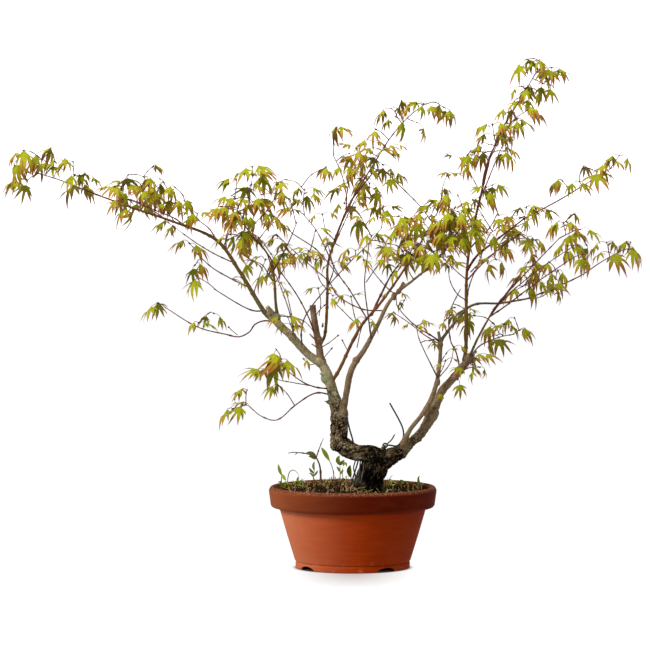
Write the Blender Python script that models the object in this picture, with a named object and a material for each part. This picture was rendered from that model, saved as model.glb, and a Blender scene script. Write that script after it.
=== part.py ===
"""Japanese maple bonsai in a round clay training pot, as separate closed solids.

Metres, +Z up. The origin is the middle of the pot's underside. The viewer of the
front stands on the -Y side, with +X to the right.
"""

import math
import random
from collections import namedtuple

import bmesh
import bpy
from mathutils import Vector
from mathutils.bvhtree import BVHTree

MM = 0.001
GAP = 0.3 * MM
MERGE = 0.002 * MM
SHARP = math.radians(40)

# Pot: outer sizes of the rim, body and foot
RIM_RADIUS = 100 * MM
RIM_HEIGHT = 24 * MM
RIM_STEP = 10 * MM
POT_HEIGHT = 97 * MM
FOOT_RADIUS = 68 * MM
FOOT_HEIGHT = 8 * MM
GROOVE = 1.2 * MM
WALL = 7 * MM
FLOOR = 11 * MM
POT_SIDES = 32
NOTCH_WIDTH = 17 * MM
NOTCH_HEIGHT = 5 * MM
NOTCH_DEPTH = 12 * MM
NOTCH_ANGLES = (-54, 36, 126, 216)

# Soil: a low heap with a level seat under the trunk
SOIL_EDGE = 91 * MM
SOIL_TOP = 95 * MM
SEAT_X = 20 * MM
SEAT_RADIUS = 25 * MM

# Front view: where the viewer's eye is, for places that lie nearer or further than the pot
EYE = Vector((-33 * MM, -5.0, 550 * MM))

# Crown: above this height (mm) depths are stretched more and more, up to the full share
CROWN_LOW = 200
CROWN_RISE = 150
CROWN_STRETCH = 0.45

# Limbs: sides of a tube, spacing of its rings, and the root flare at the soil
THICK_SIDES = 10
THIN_SIDES = 6
THIN_DIAMETER = 8 * MM
RING_STEP = 20 * MM
FLARE = 0.22
FLARE_HEIGHT = 14 * MM
FLARE_LOBES = 5

# Foliage: three-sided twigs and leaves whose lobes hang from the end of a stalk
STEM_BASE = 3.0 * MM
STEM_TIP = 2.0 * MM
TWIG_WIDTH = 1.7 * MM
STEM_STEP = 30 * MM
NEAR = 6 * MM
STALK = 9 * MM
STALK_WIDTH = 1.2 * MM
LEAF_SETBACK = 1.0 * MM
DROOP = (35, 62)
HANG = 0.4
LEAF_THICKNESS = 1.3 * MM
SMALL_LEAF = 27 * MM
LOBE_ANGLES = {3: 52, 5: 38}
LOBE_NOTCHES = {3: 0.2, 5: 0.26}
SIDE_LOBES = 0.16
CLEARANCE = 0.6 * MM
LEAF_SHARE = 0.78
MARGIN = 7 * MM
TRIES = 14
ROUNDS = 3

Limb = namedtuple("Limb", "name parents route base tip")
Mass = namedtuple("Mass", "name parent route clusters seed")
Cluster = namedtuple("Cluster", "x z depth half_x half_z half_depth leaves lobe")

# Limbs: knots are (x, z, depth) in mm as the front view shows them, diameters are in mm
LIMBS = (
    Limb("trunk", (), ((20, 95, 0), (21, 106, 0), (24, 120, 0), (27, 139, 0)), 33, 31),
    Limb("left_arm", ("trunk",),
         ((28, 135, 0), (8, 137, 0), (-7, 142, 0), (-14, 152, 0)), 20, 23),
    Limb("left_leader", ("left_arm",),
         ((-12, 146, 0), (-16, 160, 0), (-16, 172, 0), (-19, 194, 0), (-28, 224, 0),
          (-39, 248, 0)), 24, 12),
    Limb("right_leader", ("trunk", "left_arm"),
         ((28, 133, 0), (50, 136.5, 0), (75, 153, 0), (93, 182, 0), (106, 211, 0),
          (125, 234, 0), (143, 256, 0)), 20, 9),
    Limb("centre_stub", ("left_leader",),
         ((-36, 241, 0), (-40, 262, 0), (-44, 285, 0), (-48, 313, 0)), 11, 8),
    Limb("left_bough", ("left_leader", "centre_stub"),
         ((-34, 240, 0), (-53, 253, 3), (-74, 277, 6), (-92, 295, 8)), 11.5, 9.5),
    Limb("left_outer_bough", ("left_bough",),
         ((-89, 292, 8), (-103, 302, 9), (-134, 352, 10), (-162, 390, 6), (-211, 411, 0),
          (-264, 429, -8), (-288, 438, -12)), 6, 3),
    Limb("knob_shoot", ("left_bough",),
         ((-87, 290, 8), (-91, 310, 6), (-93, 340, 2), (-95, 360, 0)), 4.6, 3.2),
    Limb("centre_bough", ("centre_stub",),
         ((-40, 264, 0), (-33, 278, 8), (-30, 331, 16), (-29, 364, 18), (-8, 424, 22),
          (6, 450, 22)), 5.6, 3.2),
    Limb("branch_b", ("left_leader",),
         ((-19, 184, -2), (-10, 204, -10), (-3, 231, -16), (14, 259, -22), (43, 316, -36),
          (69, 340, -46), (92, 359, -56)), 11, 4),
    Limb("branch_a", ("left_leader", "branch_b"),
         ((-27, 219, 0), (-17, 234, -5), (8, 285, -8), (32, 314, -14), (55, 346, -18),
          (72, 373, -20)), 6.5, 3.6),
    Limb("branch_c", ("right_leader",),
         ((56, 141, -2), (68, 164, -11), (84, 185, -14), (98, 214, -14), (103.5, 246, -8),
          (104, 266, -6), (102, 283, -5)), 9.5, 5.5),
    Limb("vertical_leader", ("right_leader",),
         ((133, 246, 0), (135, 275, 0), (135, 343, 2), (140, 389, 4), (163, 490, 8)), 5.4, 3),
    Limb("bough_e", ("branch_c",),
         ((103, 268, -6), (118, 288, 5), (141, 312, 14), (176, 315, 26), (206, 320, 32)),
         4.8, 3),
    Limb("shoot_f", ("right_leader",),
         ((137, 247, 0), (146, 268, -12), (152, 280, -16), (166, 305, -22)), 4.4, 3.2),
    Limb("upper_right_bough", ("vertical_leader",),
         ((135.5, 354, 2), (148, 372, 10), (164, 385, 16), (204, 416, 30)), 3.8, 2.8),
    Limb("wire_right", ("trunk", "right_leader", "branch_c"),
         ((40, 140, -4), (42, 151, -5), (50, 152, -1), (60, 160, 4), (60, 174, 2),
          (44, 196, -4)), 1.9, 1.9),
    Limb("wire_left", ("left_arm", "left_leader"),
         ((2, 140, -4), (0, 152, -7), (-4, 166, -12), (-8, 184, -16)), 1.9, 1.9),
    Limb("wire_low", ("left_arm", "trunk"),
         ((8, 133, -10), (5, 122, -14), (0, 106, -16), (-3, 96.4, -17)), 1.9, 1.9),
)


def one(x, z, depth, half_x, half_z, half_depth, leaves, lobe):
    """A group of leaves: its middle, half sizes, leaf count and lobe length in mm."""
    return Cluster(x, z, depth, half_x, half_z, half_depth, leaves, lobe)


# Foliage masses: the limb that carries each, the route of its stem, and its groups of leaves
MASSES = (
    Mass("far_left_tip", "left_outer_bough",
         ((-288, 438, -12), (-312, 447, -15), (-347, 461, -18), (-376, 470, -20)),
         (one(-364, 463, -18, 52, 32, 32, 13, 31),), 901),
    Mass("left_cloud_front", "left_outer_bough",
         ((-200, 407, 1), (-212, 416, -14), (-236, 426, -24), (-262, 438, -28)),
         (one(-250, 432, -32, 46, 30, 26, 9, 30),), 2),
    Mass("left_cloud_back", "left_outer_bough",
         ((-222, 414, -1), (-236, 424, 14), (-256, 434, 24), (-272, 440, 28)),
         (one(-246, 434, 30, 46, 28, 26, 8, 30),), 3),
    Mass("left_fork_spray", "left_outer_bough",
         ((-162, 390, 6), (-170, 403, 8), (-184, 414, 10)),
         (one(-190, 417, 12, 18, 16, 20, 4, 26),), 4),
    Mass("left_lower_spray", "left_outer_bough",
         ((-124, 334, 10), (-150, 347, 16), (-168, 358, 22), (-185, 374, 26)),
         (one(-192, 370, 28, 24, 17, 22, 5, 28),), 5),
    Mass("left_low_leaf", "left_outer_bough",
         ((-105, 306, 9), (-118, 306, 0), (-134, 313, -8), (-165, 332, -22)),
         (one(-180, 330, -26, 18, 14, 18, 3, 28),), 6),
    Mass("curly_shoot", "left_bough",
         ((-88, 291, 8), (-104, 288, 16), (-122, 278, 20), (-150, 277, 26), (-184, 285, 30),
          (-224, 311, 34)),
         (one(-236, 306, 36, 24, 16, 20, 3, 33), one(-160, 290, 30, 18, 14, 18, 2, 24)), 7),
    Mass("knob_left_spray", "knob_shoot",
         ((-95, 358, 0), (-98, 369, -6), (-121, 398, -20), (-137, 424, -28), (-124, 448, -26)),
         (one(-137, 414, -34, 28, 36, 28, 9, 30), one(-119, 460, -22, 20, 16, 18, 3, 32)), 8),
    Mass("upper_left_back", "left_outer_bough",
         ((-150, 375, 8), (-150, 395, 20), (-141, 414, 30), (-132, 440, 38)),
         (one(-134, 420, 40, 28, 40, 28, 8, 30),), 9),
    Mass("knob_right_spray", "knob_shoot",
         ((-95, 352, 0), (-87, 366, 8), (-74, 392, 16), (-66, 412, 22)),
         (one(-84, 434, 24, 28, 20, 24, 7, 28),), 10),
    Mass("back_left_shoot", "left_bough",
         ((-70, 273, 6), (-74, 300, 40), (-84, 330, 70), (-92, 350, 90)),
         (one(-98, 356, 98, 30, 24, 32, 7, 29),), 11),
    Mass("middle_shoot", "left_bough",
         ((-60, 262, 4), (-61, 283, -8), (-55, 302, -16), (-33, 331, -20), (-8, 359, -24),
          (17, 384, -32), (34, 404, -40)),
         (one(48, 412, -46, 18, 15, 18, 4, 26), one(-6, 358, -26, 14, 15, 14, 2, 24),
          one(-58, 370, -20, 15, 23, 18, 4, 26)), 12),
    Mass("crossing_left_shoot", "branch_a",
         ((17, 296, -10), (-4, 331, 14), (-20, 354, 34), (-43, 401, 42), (-60, 422, 46)),
         (one(-60, 436, 50, 30, 20, 26, 6, 28),), 13),
    Mass("centre_top", "centre_bough",
         ((6, 450, 22), (24, 479, 22), (45, 512, 20), (67, 537, 16), (84, 550, 14)),
         (one(72, 534, 16, 47, 22, 28, 10, 28), one(38, 484, 24, 20, 22, 26, 6, 28)), 14),
    Mass("centre_left_spray", "centre_bough",
         ((-8, 424, 22), (-8, 446, 36), (-14, 470, 46), (-23, 490, 50)),
         (one(-23, 494, 50, 14, 19, 18, 3, 30), one(-2, 452, 48, 22, 30, 28, 7, 28)), 15),
    Mass("centre_front_spray", "centre_bough",
         ((-12, 413, 21), (-3, 432, 6), (4, 450, -6), (14, 468, -14)),
         (one(8, 458, -16, 22, 30, 26, 8, 28),), 16),
    Mass("centre_clump", "centre_bough",
         ((-30, 335, 16), (-24, 350, 4), (-22, 360, -2)),
         (one(-22, 366, -4, 17, 14, 14, 3, 24),), 17),
    Mass("hanging_shoot", "centre_bough",
         ((2, 442, 22), (16, 460, 34), (29, 473, 42), (41, 469, 47), (54, 456, 52),
          (80, 430, 60), (94, 411, 62)),
         (one(84, 426, 62, 16, 14, 14, 3, 18),), 18),
    Mass("front_shoot", "branch_b",
         ((22, 272, -25), (18, 302, -60), (14, 340, -86), (18, 376, -100)),
         (one(18, 390, -104, 24, 20, 26, 5, 28),), 19),
    Mass("dense_front", "branch_b",
         ((92, 359, -56), (104, 372, -64), (118, 390, -74), (128, 405, -80)),
         (one(114, 390, -80, 34, 38, 36, 15, 30),), 20),
    Mass("dense_back", "branch_a",
         ((72, 373, -20), (80, 386, -14), (90, 404, -4), (104, 430, 6)),
         (one(88, 404, 2, 30, 32, 34, 11, 30), one(115, 450, 10, 17, 14, 15, 3, 28),
          one(50, 354, -6, 22, 13, 18, 3, 26)), 21),
    Mass("right_column_front", "vertical_leader",
         ((147, 424, 5), (152, 446, -8), (158, 475, -18), (172, 505, -22)),
         (one(166, 502, -26, 42, 38, 28, 9, 30),), 22),
    Mass("right_column_back", "vertical_leader",
         ((153, 448, 6), (156, 470, 22), (166, 498, 34), (184, 522, 40)),
         (one(164, 510, 40, 42, 34, 28, 8, 30),), 23),
    Mass("right_top", "vertical_leader",
         ((163, 490, 8), (179, 525, 8), (198, 556, 4), (219, 592, 0)),
         (one(213, 580, 2, 37, 29, 32, 11, 30),), 224),
    Mass("right_inner_front", "vertical_leader",
         ((139, 380, 4), (150, 392, -12), (162, 404, -24), (172, 422, -30)),
         (one(168, 408, -34, 22, 31, 26, 6, 28),), 25),
    Mass("right_inner_back", "vertical_leader",
         ((135, 306, 1), (138, 334, 36), (150, 365, 66), (160, 392, 84)),
         (one(168, 404, 92, 28, 30, 30, 7, 29),), 26),
    Mass("upper_right_spray", "upper_right_bough",
         ((204, 416, 30), (244, 437, 34), (282, 460, 34), (308, 476, 34)),
         (one(283, 455, 34, 56, 26, 34, 13, 30),), 427),
    Mass("right_middle_spray", "vertical_leader",
         ((135.5, 342, 2), (150, 358, -6), (164, 371, -12), (184, 388, -16), (204, 402, -18)),
         (one(213, 402, -20, 20, 27, 26, 7, 28), one(166, 354, -8, 16, 13, 16, 3, 26)), 28),
    Mass("low_far_right", "bough_e",
         ((206, 320, 32), (239, 333, 36), (271, 348, 36), (295, 364, 34), (318, 377, 32)),
         (one(243, 342, 36, 44, 25, 30, 9, 28), one(316, 369, 32, 34, 17, 24, 5, 31)), 729),
    Mass("fan_high", "shoot_f",
         ((166, 305, -22), (176, 319, -28), (219, 365, -48), (245, 392, -58)),
         (one(262, 393, -62, 30, 19, 24, 5, 30),), 30),
    Mass("fan_low", "shoot_f",
         ((163, 299, -20), (182, 312, -36), (223, 343, -62), (260, 368, -80)),
         (one(264, 370, -84, 34, 20, 24, 5, 30),), 31),
    Mass("fan_inner", "shoot_f",
         ((165, 302, -21), (170, 318, -12), (190, 343, -2), (205, 360, 4)),
         (one(204, 364, 4, 18, 15, 18, 3, 26),), 32),
    Mass("low_right_spray", "right_leader",
         ((140, 252, 0), (152, 265, 14), (176, 275, 34), (192, 278, 46)),
         (one(184, 274, 44, 43, 16, 26, 5, 31),), 33),
    Mass("right_leader_spray", "right_leader",
         ((132, 238, 0), (138, 238, -14), (146, 240, -24)),
         (one(138, 231, -28, 27, 27, 22, 7, 28),), 34),
    Mass("branch_c_left", "branch_c",
         ((103, 270, -6), (94, 276, -14), (76, 287, -22), (60, 302, -28), (52, 313, -32)),
         (one(92, 290, -26, 18, 11, 15, 2, 25), one(64, 315, -32, 15, 10, 14, 2, 23)), 35),
    Mass("branch_c_low", "branch_c",
         ((101, 226, -13), (92, 244, -20), (86, 256, -24)),
         (one(80, 259, -26, 19, 14, 17, 3, 27),), 36),
    Mass("low_left_upper", "left_leader",
         ((-26, 213, 0), (-44, 215, -14), (-61, 222, -24), (-88, 243, -34)),
         (one(-103, 238, -40, 30, 20, 24, 4, 36),), 37),
    Mass("low_left_lower", "left_leader",
         ((-23, 205, 0), (-44, 208, 8), (-69, 193, 16), (-90, 176, 22), (-108, 180, 26),
          (-122, 191, 30)),
         (one(-134, 190, 32, 17, 13, 18, 2, 29), one(-82, 202, 18, 14, 12, 14, 2, 24)), 38),
    Mass("inner_right_twig", "right_leader",
         ((128, 232, 2), (123, 256, 14), (116, 271, 20), (115, 303, 26), (128, 332, 30)),
         (one(120, 318, 30, 16, 17, 16, 3, 25),), 39),
)


def stretch(z):
    """How much deeper than its table value anything at this height (mm) lies or is."""
    return 1 + CROWN_STRETCH * min(max((z - CROWN_LOW) / CROWN_RISE, 0), 1)


def place(x, z, depth):
    """The point that the front view shows at x, z (mm), moved along the sight line to its depth."""
    seen = Vector((x * MM, 0, z * MM))
    reach = (depth * stretch(z) * MM - EYE.y) / -EYE.y
    return EYE + (seen - EYE) * reach


def smooth_path(knots, step):
    """Points every step or so along a smooth curve through the knots."""
    ends = [knots[0] * 2 - knots[1]] + list(knots) + [knots[-1] * 2 - knots[-2]]
    path = []
    for before, start, end, after in zip(ends, ends[1:], ends[2:], ends[3:]):
        span = (end - start).length
        leave = (end - before).normalized() * span
        arrive = (after - start).normalized() * span
        pieces = max(1, round(span / step))
        for i in range(pieces):
            t = i / pieces
            path.append(start * (2 * t**3 - 3 * t**2 + 1) + leave * (t**3 - 2 * t**2 + t)
                        + end * (3 * t**2 - 2 * t**3) + arrive * (t**3 - t**2))
    path.append(knots[-1].copy())
    return path


def directions(path):
    """The direction of the path at each of its points."""
    spans = [(b - a).normalized() for a, b in zip(path, path[1:])]
    return [(a + b).normalized() for a, b in zip([spans[0]] + spans, spans + [spans[-1]])]


def tube(path, radii, sides, flare=0.0):
    """Vertices and faces of a closed tapering tube, with an optional lobed root flare."""
    vertices = []
    faces = []
    side = None
    for point, direction, radius in zip(path, directions(path), radii):
        if side is None:
            side = direction.orthogonal().normalized()
        side = (side - direction * side.dot(direction)).normalized()
        other = direction.cross(side)
        height = (point - path[0]).length
        spread = flare * math.exp(-height / FLARE_HEIGHT) if flare else 0.0
        for i in range(sides):
            turn = 2 * math.pi * i / sides
            lobe = 1 + spread * (1 + 0.6 * math.cos(FLARE_LOBES * turn))
            offset = side * math.cos(turn) + other * math.sin(turn)
            vertices.append(point + offset * radius * lobe)
    for ring in range(len(path) - 1):
        for i in range(sides):
            a = ring * sides + i
            b = ring * sides + (i + 1) % sides
            faces.append((a, b, b + sides, a + sides))
    last = len(vertices) - sides
    faces.append(tuple(reversed(range(sides))))
    faces.append(tuple(range(last, last + sides)))
    return vertices, faces


def new_object(name, vertices, faces, smooth=True):
    """An object from vertices and faces, with every face turned outward."""
    mesh = bpy.data.meshes.new(name)
    mesh.from_pydata([tuple(v) for v in vertices], [], faces)
    shell = bmesh.new()
    shell.from_mesh(mesh)
    bmesh.ops.recalc_face_normals(shell, faces=shell.faces)
    shell.to_mesh(mesh)
    shell.free()
    if smooth:
        mesh.shade_smooth()
        mesh.set_sharp_from_angle(angle=SHARP)
    piece = bpy.data.objects.new(name, mesh)
    bpy.context.scene.collection.objects.link(piece)
    return piece


def shape_of(piece):
    """Vertices and faces of an object's mesh."""
    vertices = [vertex.co.copy() for vertex in piece.data.vertices]
    return vertices, [tuple(polygon.vertices) for polygon in piece.data.polygons]


def remove(piece):
    """Delete an object and its mesh."""
    mesh = piece.data
    bpy.data.objects.remove(piece)
    bpy.data.meshes.remove(mesh)


def apply_boolean(piece, operation, operands, solver="EXACT"):
    """Apply one Boolean with a collection of operands, leaving piece unchanged but for its mesh."""
    group = bpy.data.collections.new("operands")
    bpy.context.scene.collection.children.link(group)
    for operand in operands:
        bpy.context.scene.collection.objects.unlink(operand)
        group.objects.link(operand)
    modifier = piece.modifiers.new("join", "BOOLEAN")
    modifier.operation = operation
    modifier.operand_type = "COLLECTION"
    modifier.collection = group
    modifier.solver = solver
    evaluated = piece.evaluated_get(bpy.context.evaluated_depsgraph_get())
    result = bpy.data.meshes.new_from_object(evaluated)
    piece.modifiers.remove(modifier)
    for operand in operands:
        group.objects.unlink(operand)
        bpy.context.scene.collection.objects.link(operand)
    bpy.data.collections.remove(group)
    return result


def shells(mesh):
    """The mesh's separate shells, each as a list of face indices with its signed volume."""
    body = bmesh.new()
    body.from_mesh(mesh)
    body.faces.ensure_lookup_table()
    seen = set()
    found = []
    for first in body.faces:
        if first.index in seen:
            continue
        seen.add(first.index)
        shell = [first]
        for face in shell:
            for edge in face.edges:
                for other in edge.link_faces:
                    if other.index not in seen:
                        seen.add(other.index)
                        shell.append(other)
        volume = 0.0
        for face in shell:
            corners = [v.co for v in face.verts]
            for b, c in zip(corners[1:], corners[2:]):
                volume += corners[0].dot(b.cross(c)) / 6
        found.append((volume, [face.index for face in shell]))
    body.free()
    return found


def keep_main_shell(mesh):
    """Drop loose scraps and sealed hollows, so that one closed body is left."""
    found = shells(mesh)
    main = max(found, key=lambda entry: entry[0])[1]
    if len(found) == 1:
        return
    keep = set(main)
    body = bmesh.new()
    body.from_mesh(mesh)
    body.faces.ensure_lookup_table()
    drop = [face for face in body.faces if face.index not in keep]
    bmesh.ops.delete(body, geom=drop, context="FACES")
    body.to_mesh(mesh)
    body.free()


def tidy_mesh(mesh):
    """Drop points in the middle of an edge and cut all faces to triangles; True if it is closed.

    Where merging points that lie on top of each other would open the mesh, they stay.
    """
    for distance in (MERGE, 0.0):
        body = bmesh.new()
        body.from_mesh(mesh)
        if distance:
            bmesh.ops.remove_doubles(body, verts=body.verts, dist=distance)
        spare = [vertex for vertex in body.verts if len(vertex.link_edges) == 2]
        bmesh.ops.dissolve_verts(body, verts=spare)
        bmesh.ops.triangulate(body, faces=body.faces)
        closed = all(len(edge.link_faces) == 2 for edge in body.edges)
        if closed:
            body.to_mesh(mesh)
        body.free()
        if closed:
            return True
    return False


def limb_tube(limb, step, extra=0.0):
    """The tube of a limb; extra makes it fatter and longer, as a cutter for its neighbours."""
    path = smooth_path([place(*knot) for knot in limb.route], step)
    lengths = [0.0]
    for a, b in zip(path, path[1:]):
        lengths.append(lengths[-1] + (b - a).length)
    radii = []
    for length in lengths:
        share = length / lengths[-1]
        radii.append((limb.base + (limb.tip - limb.base) * share) * MM / 2 + extra)
    if extra:
        path[0] = path[0] - directions(path)[0] * extra
        path[-1] = path[-1] + directions(path)[-1] * extra
    thick = max(limb.base, limb.tip) * MM > THIN_DIAMETER
    sides = THICK_SIDES if thick else THIN_SIDES
    if limb.name != "trunk":
        return tube(path, radii, sides)
    vertices, faces = tube(path, radii, sides, FLARE)
    for vertex in vertices[:sides]:
        vertex.z = SOIL_TOP + GAP - extra
    return vertices, faces


def paint(piece, colour, roughness, metallic=0.0):
    """Give a piece its own material."""
    material = bpy.data.materials.new(piece.name + "_finish")
    material.use_nodes = True
    shader = material.node_tree.nodes["Principled BSDF"]
    shader.inputs["Base Color"].default_value = (*colour, 1)
    shader.inputs["Roughness"].default_value = roughness
    shader.inputs["Metallic"].default_value = metallic
    piece.data.materials.clear()
    piece.data.materials.append(material)


def turned(name, profile, sides):
    """A solid of revolution about Z from (radius, height) points that start and end on the axis."""
    vertices = [Vector((0, 0, profile[0][1])), Vector((0, 0, profile[-1][1]))]
    faces = []
    rings = profile[1:-1]
    for radius, height in rings:
        for i in range(sides):
            turn = 2 * math.pi * i / sides
            vertices.append(Vector((radius * math.cos(turn), radius * math.sin(turn), height)))
    for i in range(sides):
        j = (i + 1) % sides
        faces.append((0, 2 + i, 2 + j))
        for ring in range(len(rings) - 1):
            low = 2 + ring * sides
            faces.append((low + i, low + sides + i, low + sides + j, low + j))
        top = 2 + (len(rings) - 1) * sides
        faces.append((1, top + j, top + i))
    return new_object(name, vertices, faces)


def body_radius(height):
    """The pot's outer radius where its plain wall rises from the foot to the rim."""
    share = (height - FOOT_HEIGHT) / (POT_HEIGHT - RIM_HEIGHT - FOOT_HEIGHT)
    top = RIM_RADIUS - RIM_STEP - 2 * MM
    return FOOT_RADIUS + 1 * MM + (top - FOOT_RADIUS - 1 * MM) * share


def make_pot():
    """The pot: a foot ring with arched notches, a tapering wall and a deep rounded rim."""
    rim_low = POT_HEIGHT - RIM_HEIGHT
    soft = 2 * MM
    profile = [
        (0, 0), (FOOT_RADIUS - soft, 0), (FOOT_RADIUS, soft), (FOOT_RADIUS, FOOT_HEIGHT - soft),
        (FOOT_RADIUS - GROOVE, FOOT_HEIGHT - soft / 2), (FOOT_RADIUS + 1 * MM, FOOT_HEIGHT + soft / 2),
        (body_radius(rim_low - GROOVE), rim_low - GROOVE),
        (RIM_RADIUS - 3.6 * MM, rim_low - GROOVE),
        (RIM_RADIUS - 1.8 * MM, rim_low + soft),
        (RIM_RADIUS, POT_HEIGHT - 3 * soft / 2), (RIM_RADIUS - soft, POT_HEIGHT - soft / 4),
        (RIM_RADIUS - WALL + soft, POT_HEIGHT), (RIM_RADIUS - WALL, POT_HEIGHT - soft),
        (RIM_RADIUS - WALL - soft, SOIL_EDGE - 4 * MM),
        (body_radius(FLOOR) - WALL, FLOOR), (0, FLOOR),
    ]
    pot = turned("pot", profile, POT_SIDES)
    cutters = []
    for angle in NOTCH_ANGLES:
        turn = math.radians(angle)
        outward = Vector((math.sin(turn), -math.cos(turn), 0))
        across = Vector((outward.y, -outward.x, 0))
        arch = [(-1, -1), (1, -1)]
        arch += [(math.cos(t), math.sin(t)) for t in (0, math.pi / 4, math.pi / 2, 3 * math.pi / 4, math.pi)]
        vertices = []
        for reach in (FOOT_RADIUS - NOTCH_DEPTH, FOOT_RADIUS + NOTCH_DEPTH):
            for side, up in arch:
                vertices.append(outward * reach + across * side * NOTCH_WIDTH / 2
                                + Vector((0, 0, up * NOTCH_HEIGHT)))
        count = len(arch)
        faces = [tuple(range(count)), tuple(reversed(range(count, 2 * count)))]
        faces += [(i, (i + 1) % count, (i + 1) % count + count, i + count) for i in range(count)]
        cutters.append(new_object("notch_cutter", vertices, faces, smooth=False))
    pot.data = apply_boolean(pot, "DIFFERENCE", cutters)
    for cutter in cutters:
        remove(cutter)
    tidy_mesh(pot.data)
    pot.data.set_sharp_from_angle(angle=SHARP)
    paint(pot, (0.36, 0.09, 0.03), 0.75)
    return pot


def make_soil():
    """The soil: it fills the pot to a low heap with a level seat under the trunk."""
    inner_top = RIM_RADIUS - WALL - 2 * MM
    inner_low = body_radius(FLOOR) - WALL
    low = FLOOR + GAP
    lip = SOIL_EDGE - 4 * MM
    profile = [(0, low), (inner_low - 2 * GAP, low), (inner_top - 2 * GAP, lip),
               (inner_top - 2 * GAP, SOIL_EDGE - 2 * MM), (inner_top - 10 * MM, SOIL_EDGE),
               (SEAT_X + SEAT_RADIUS + 14 * MM, SOIL_TOP - 2 * MM),
               (SEAT_X + SEAT_RADIUS, SOIL_TOP), (0, SOIL_TOP)]
    soil = turned("soil", profile, POT_SIDES)
    paint(soil, (0.11, 0.07, 0.04), 0.95)
    return soil


def make_limbs():
    """Every limb as one tapering solid, cut 0.3 mm clear of the limbs that carry it."""
    rows = {limb.name: limb for limb in LIMBS}
    made = {}
    for limb in LIMBS:
        piece = new_object(limb.name, *limb_tube(limb, RING_STEP))
        cutters = []
        for parent in limb.parents:
            cutters.append(new_object("limb_cutter", *limb_tube(rows[parent], RING_STEP, GAP)))
        if cutters:
            piece.data = apply_boolean(piece, "DIFFERENCE", cutters)
            for cutter in cutters:
                remove(cutter)
        tidy_mesh(piece.data)
        keep_main_shell(piece.data)
        piece.data.set_sharp_from_angle(angle=SHARP)
        if limb.name.startswith("wire"):
            paint(piece, (0.01, 0.01, 0.01), 0.4)
        elif limb.name in ("trunk", "left_arm"):
            paint(piece, (0.03, 0.02, 0.015), 0.9)
        elif limb.base > THIN_DIAMETER / MM:
            paint(piece, (0.18, 0.14, 0.08), 0.85)
        else:
            paint(piece, (0.20, 0.08, 0.04), 0.7)
        made[limb.name] = piece
    return made


def leaf(path, widths, forward, up, lobe, count, droop):
    """A lobed leaf on its stalk, as one thin closed body.

    The three-sided stalk follows the path and ends in the blade, a star whose lobes hang
    from its middle. The middle lies a tenth of a lobe beyond the end of the path.
    """
    side = up.cross(forward).normalized()
    normal = forward.cross(side)
    half = widths[-1] / 2
    neck = path[-1]
    middle = neck + forward * lobe * 0.1
    spread = LOBE_ANGLES[count]
    inner = lobe * LOBE_NOTCHES[count]
    lean = math.radians(droop)
    vertices = [middle + normal * LEAF_THICKNESS / 2, middle - normal * LEAF_THICKNESS / 2,
                neck + side * half]
    for k in range(count):
        turn = math.radians((count // 2 - k) * spread)
        reach = lobe * (1 - SIDE_LOBES * abs(k - count // 2) ** 1.5)
        flat = forward * math.cos(turn) + side * math.sin(turn)
        vertices.append(middle + (flat * math.cos(lean) - normal * math.sin(lean)) * reach)
        if k < count - 1:
            turn -= math.radians(spread / 2)
            flat = forward * math.cos(turn) + side * math.sin(turn)
            vertices.append(middle + flat * inner - normal * inner * math.sin(lean) * 0.6)
    vertices.append(neck - side * half)
    last = len(vertices) - 1
    faces = [(0, i, i + 1) for i in range(2, last)]
    faces += [(1, i + 1, i) for i in range(2, last)]
    faces.append((0, last, 2))
    ring = (2, last, 1)
    headings = directions(path + [middle])
    for point, heading, width in reversed(list(zip(path[:-1], headings, widths))):
        side = (side - heading * side.dot(heading)).normalized()
        below = side.cross(heading) * width * 0.9
        start = len(vertices)
        vertices += [point + side * width / 2 - below / 3, point - side * width / 2 - below / 3,
                     point + below * 2 / 3]
        for i in range(3):
            j = (i + 1) % 3
            faces.append((ring[i], ring[j], start + j, start + i))
        ring = (start, start + 1, start + 2)
    faces.append(tuple(reversed(ring)))
    return vertices, faces


class Space:
    """What is already there, so that a new twig or leaf can be kept clear of it."""

    def __init__(self):
        self.vertices = []
        self.faces = []
        self.tree = None

    def add(self, vertices, faces):
        start = len(self.vertices)
        self.vertices += vertices
        self.faces += [tuple(i + start for i in face) for face in faces]
        self.tree = None

    def is_free(self, vertices, faces, clearance=CLEARANCE):
        if self.tree is None:
            self.tree = BVHTree.FromPolygons(self.vertices, self.faces)
        if self.tree.overlap(BVHTree.FromPolygons(vertices, faces)):
            return False
        return all(self.tree.find_nearest(v, clearance)[0] is None for v in vertices)


def random_direction(rng):
    """A direction drawn evenly from the whole sphere."""
    height = rng.uniform(-1, 1)
    turn = rng.uniform(0, 2 * math.pi)
    flat = math.sqrt(1 - height * height)
    return Vector((flat * math.cos(turn), flat * math.sin(turn), height))


def inside(cluster, point, margin):
    """True where a point lies in the cluster's rounded box, grown by the margin."""
    offset = point - place(cluster.x, cluster.z, cluster.depth)
    x = abs(offset.x) / (cluster.half_x * MM + margin)
    y = abs(offset.y) / (cluster.half_depth * stretch(cluster.z) * MM + margin)
    z = abs(offset.z) / (cluster.half_z * MM + margin)
    return x**4 + y**4 + z**4 <= 1


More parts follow.
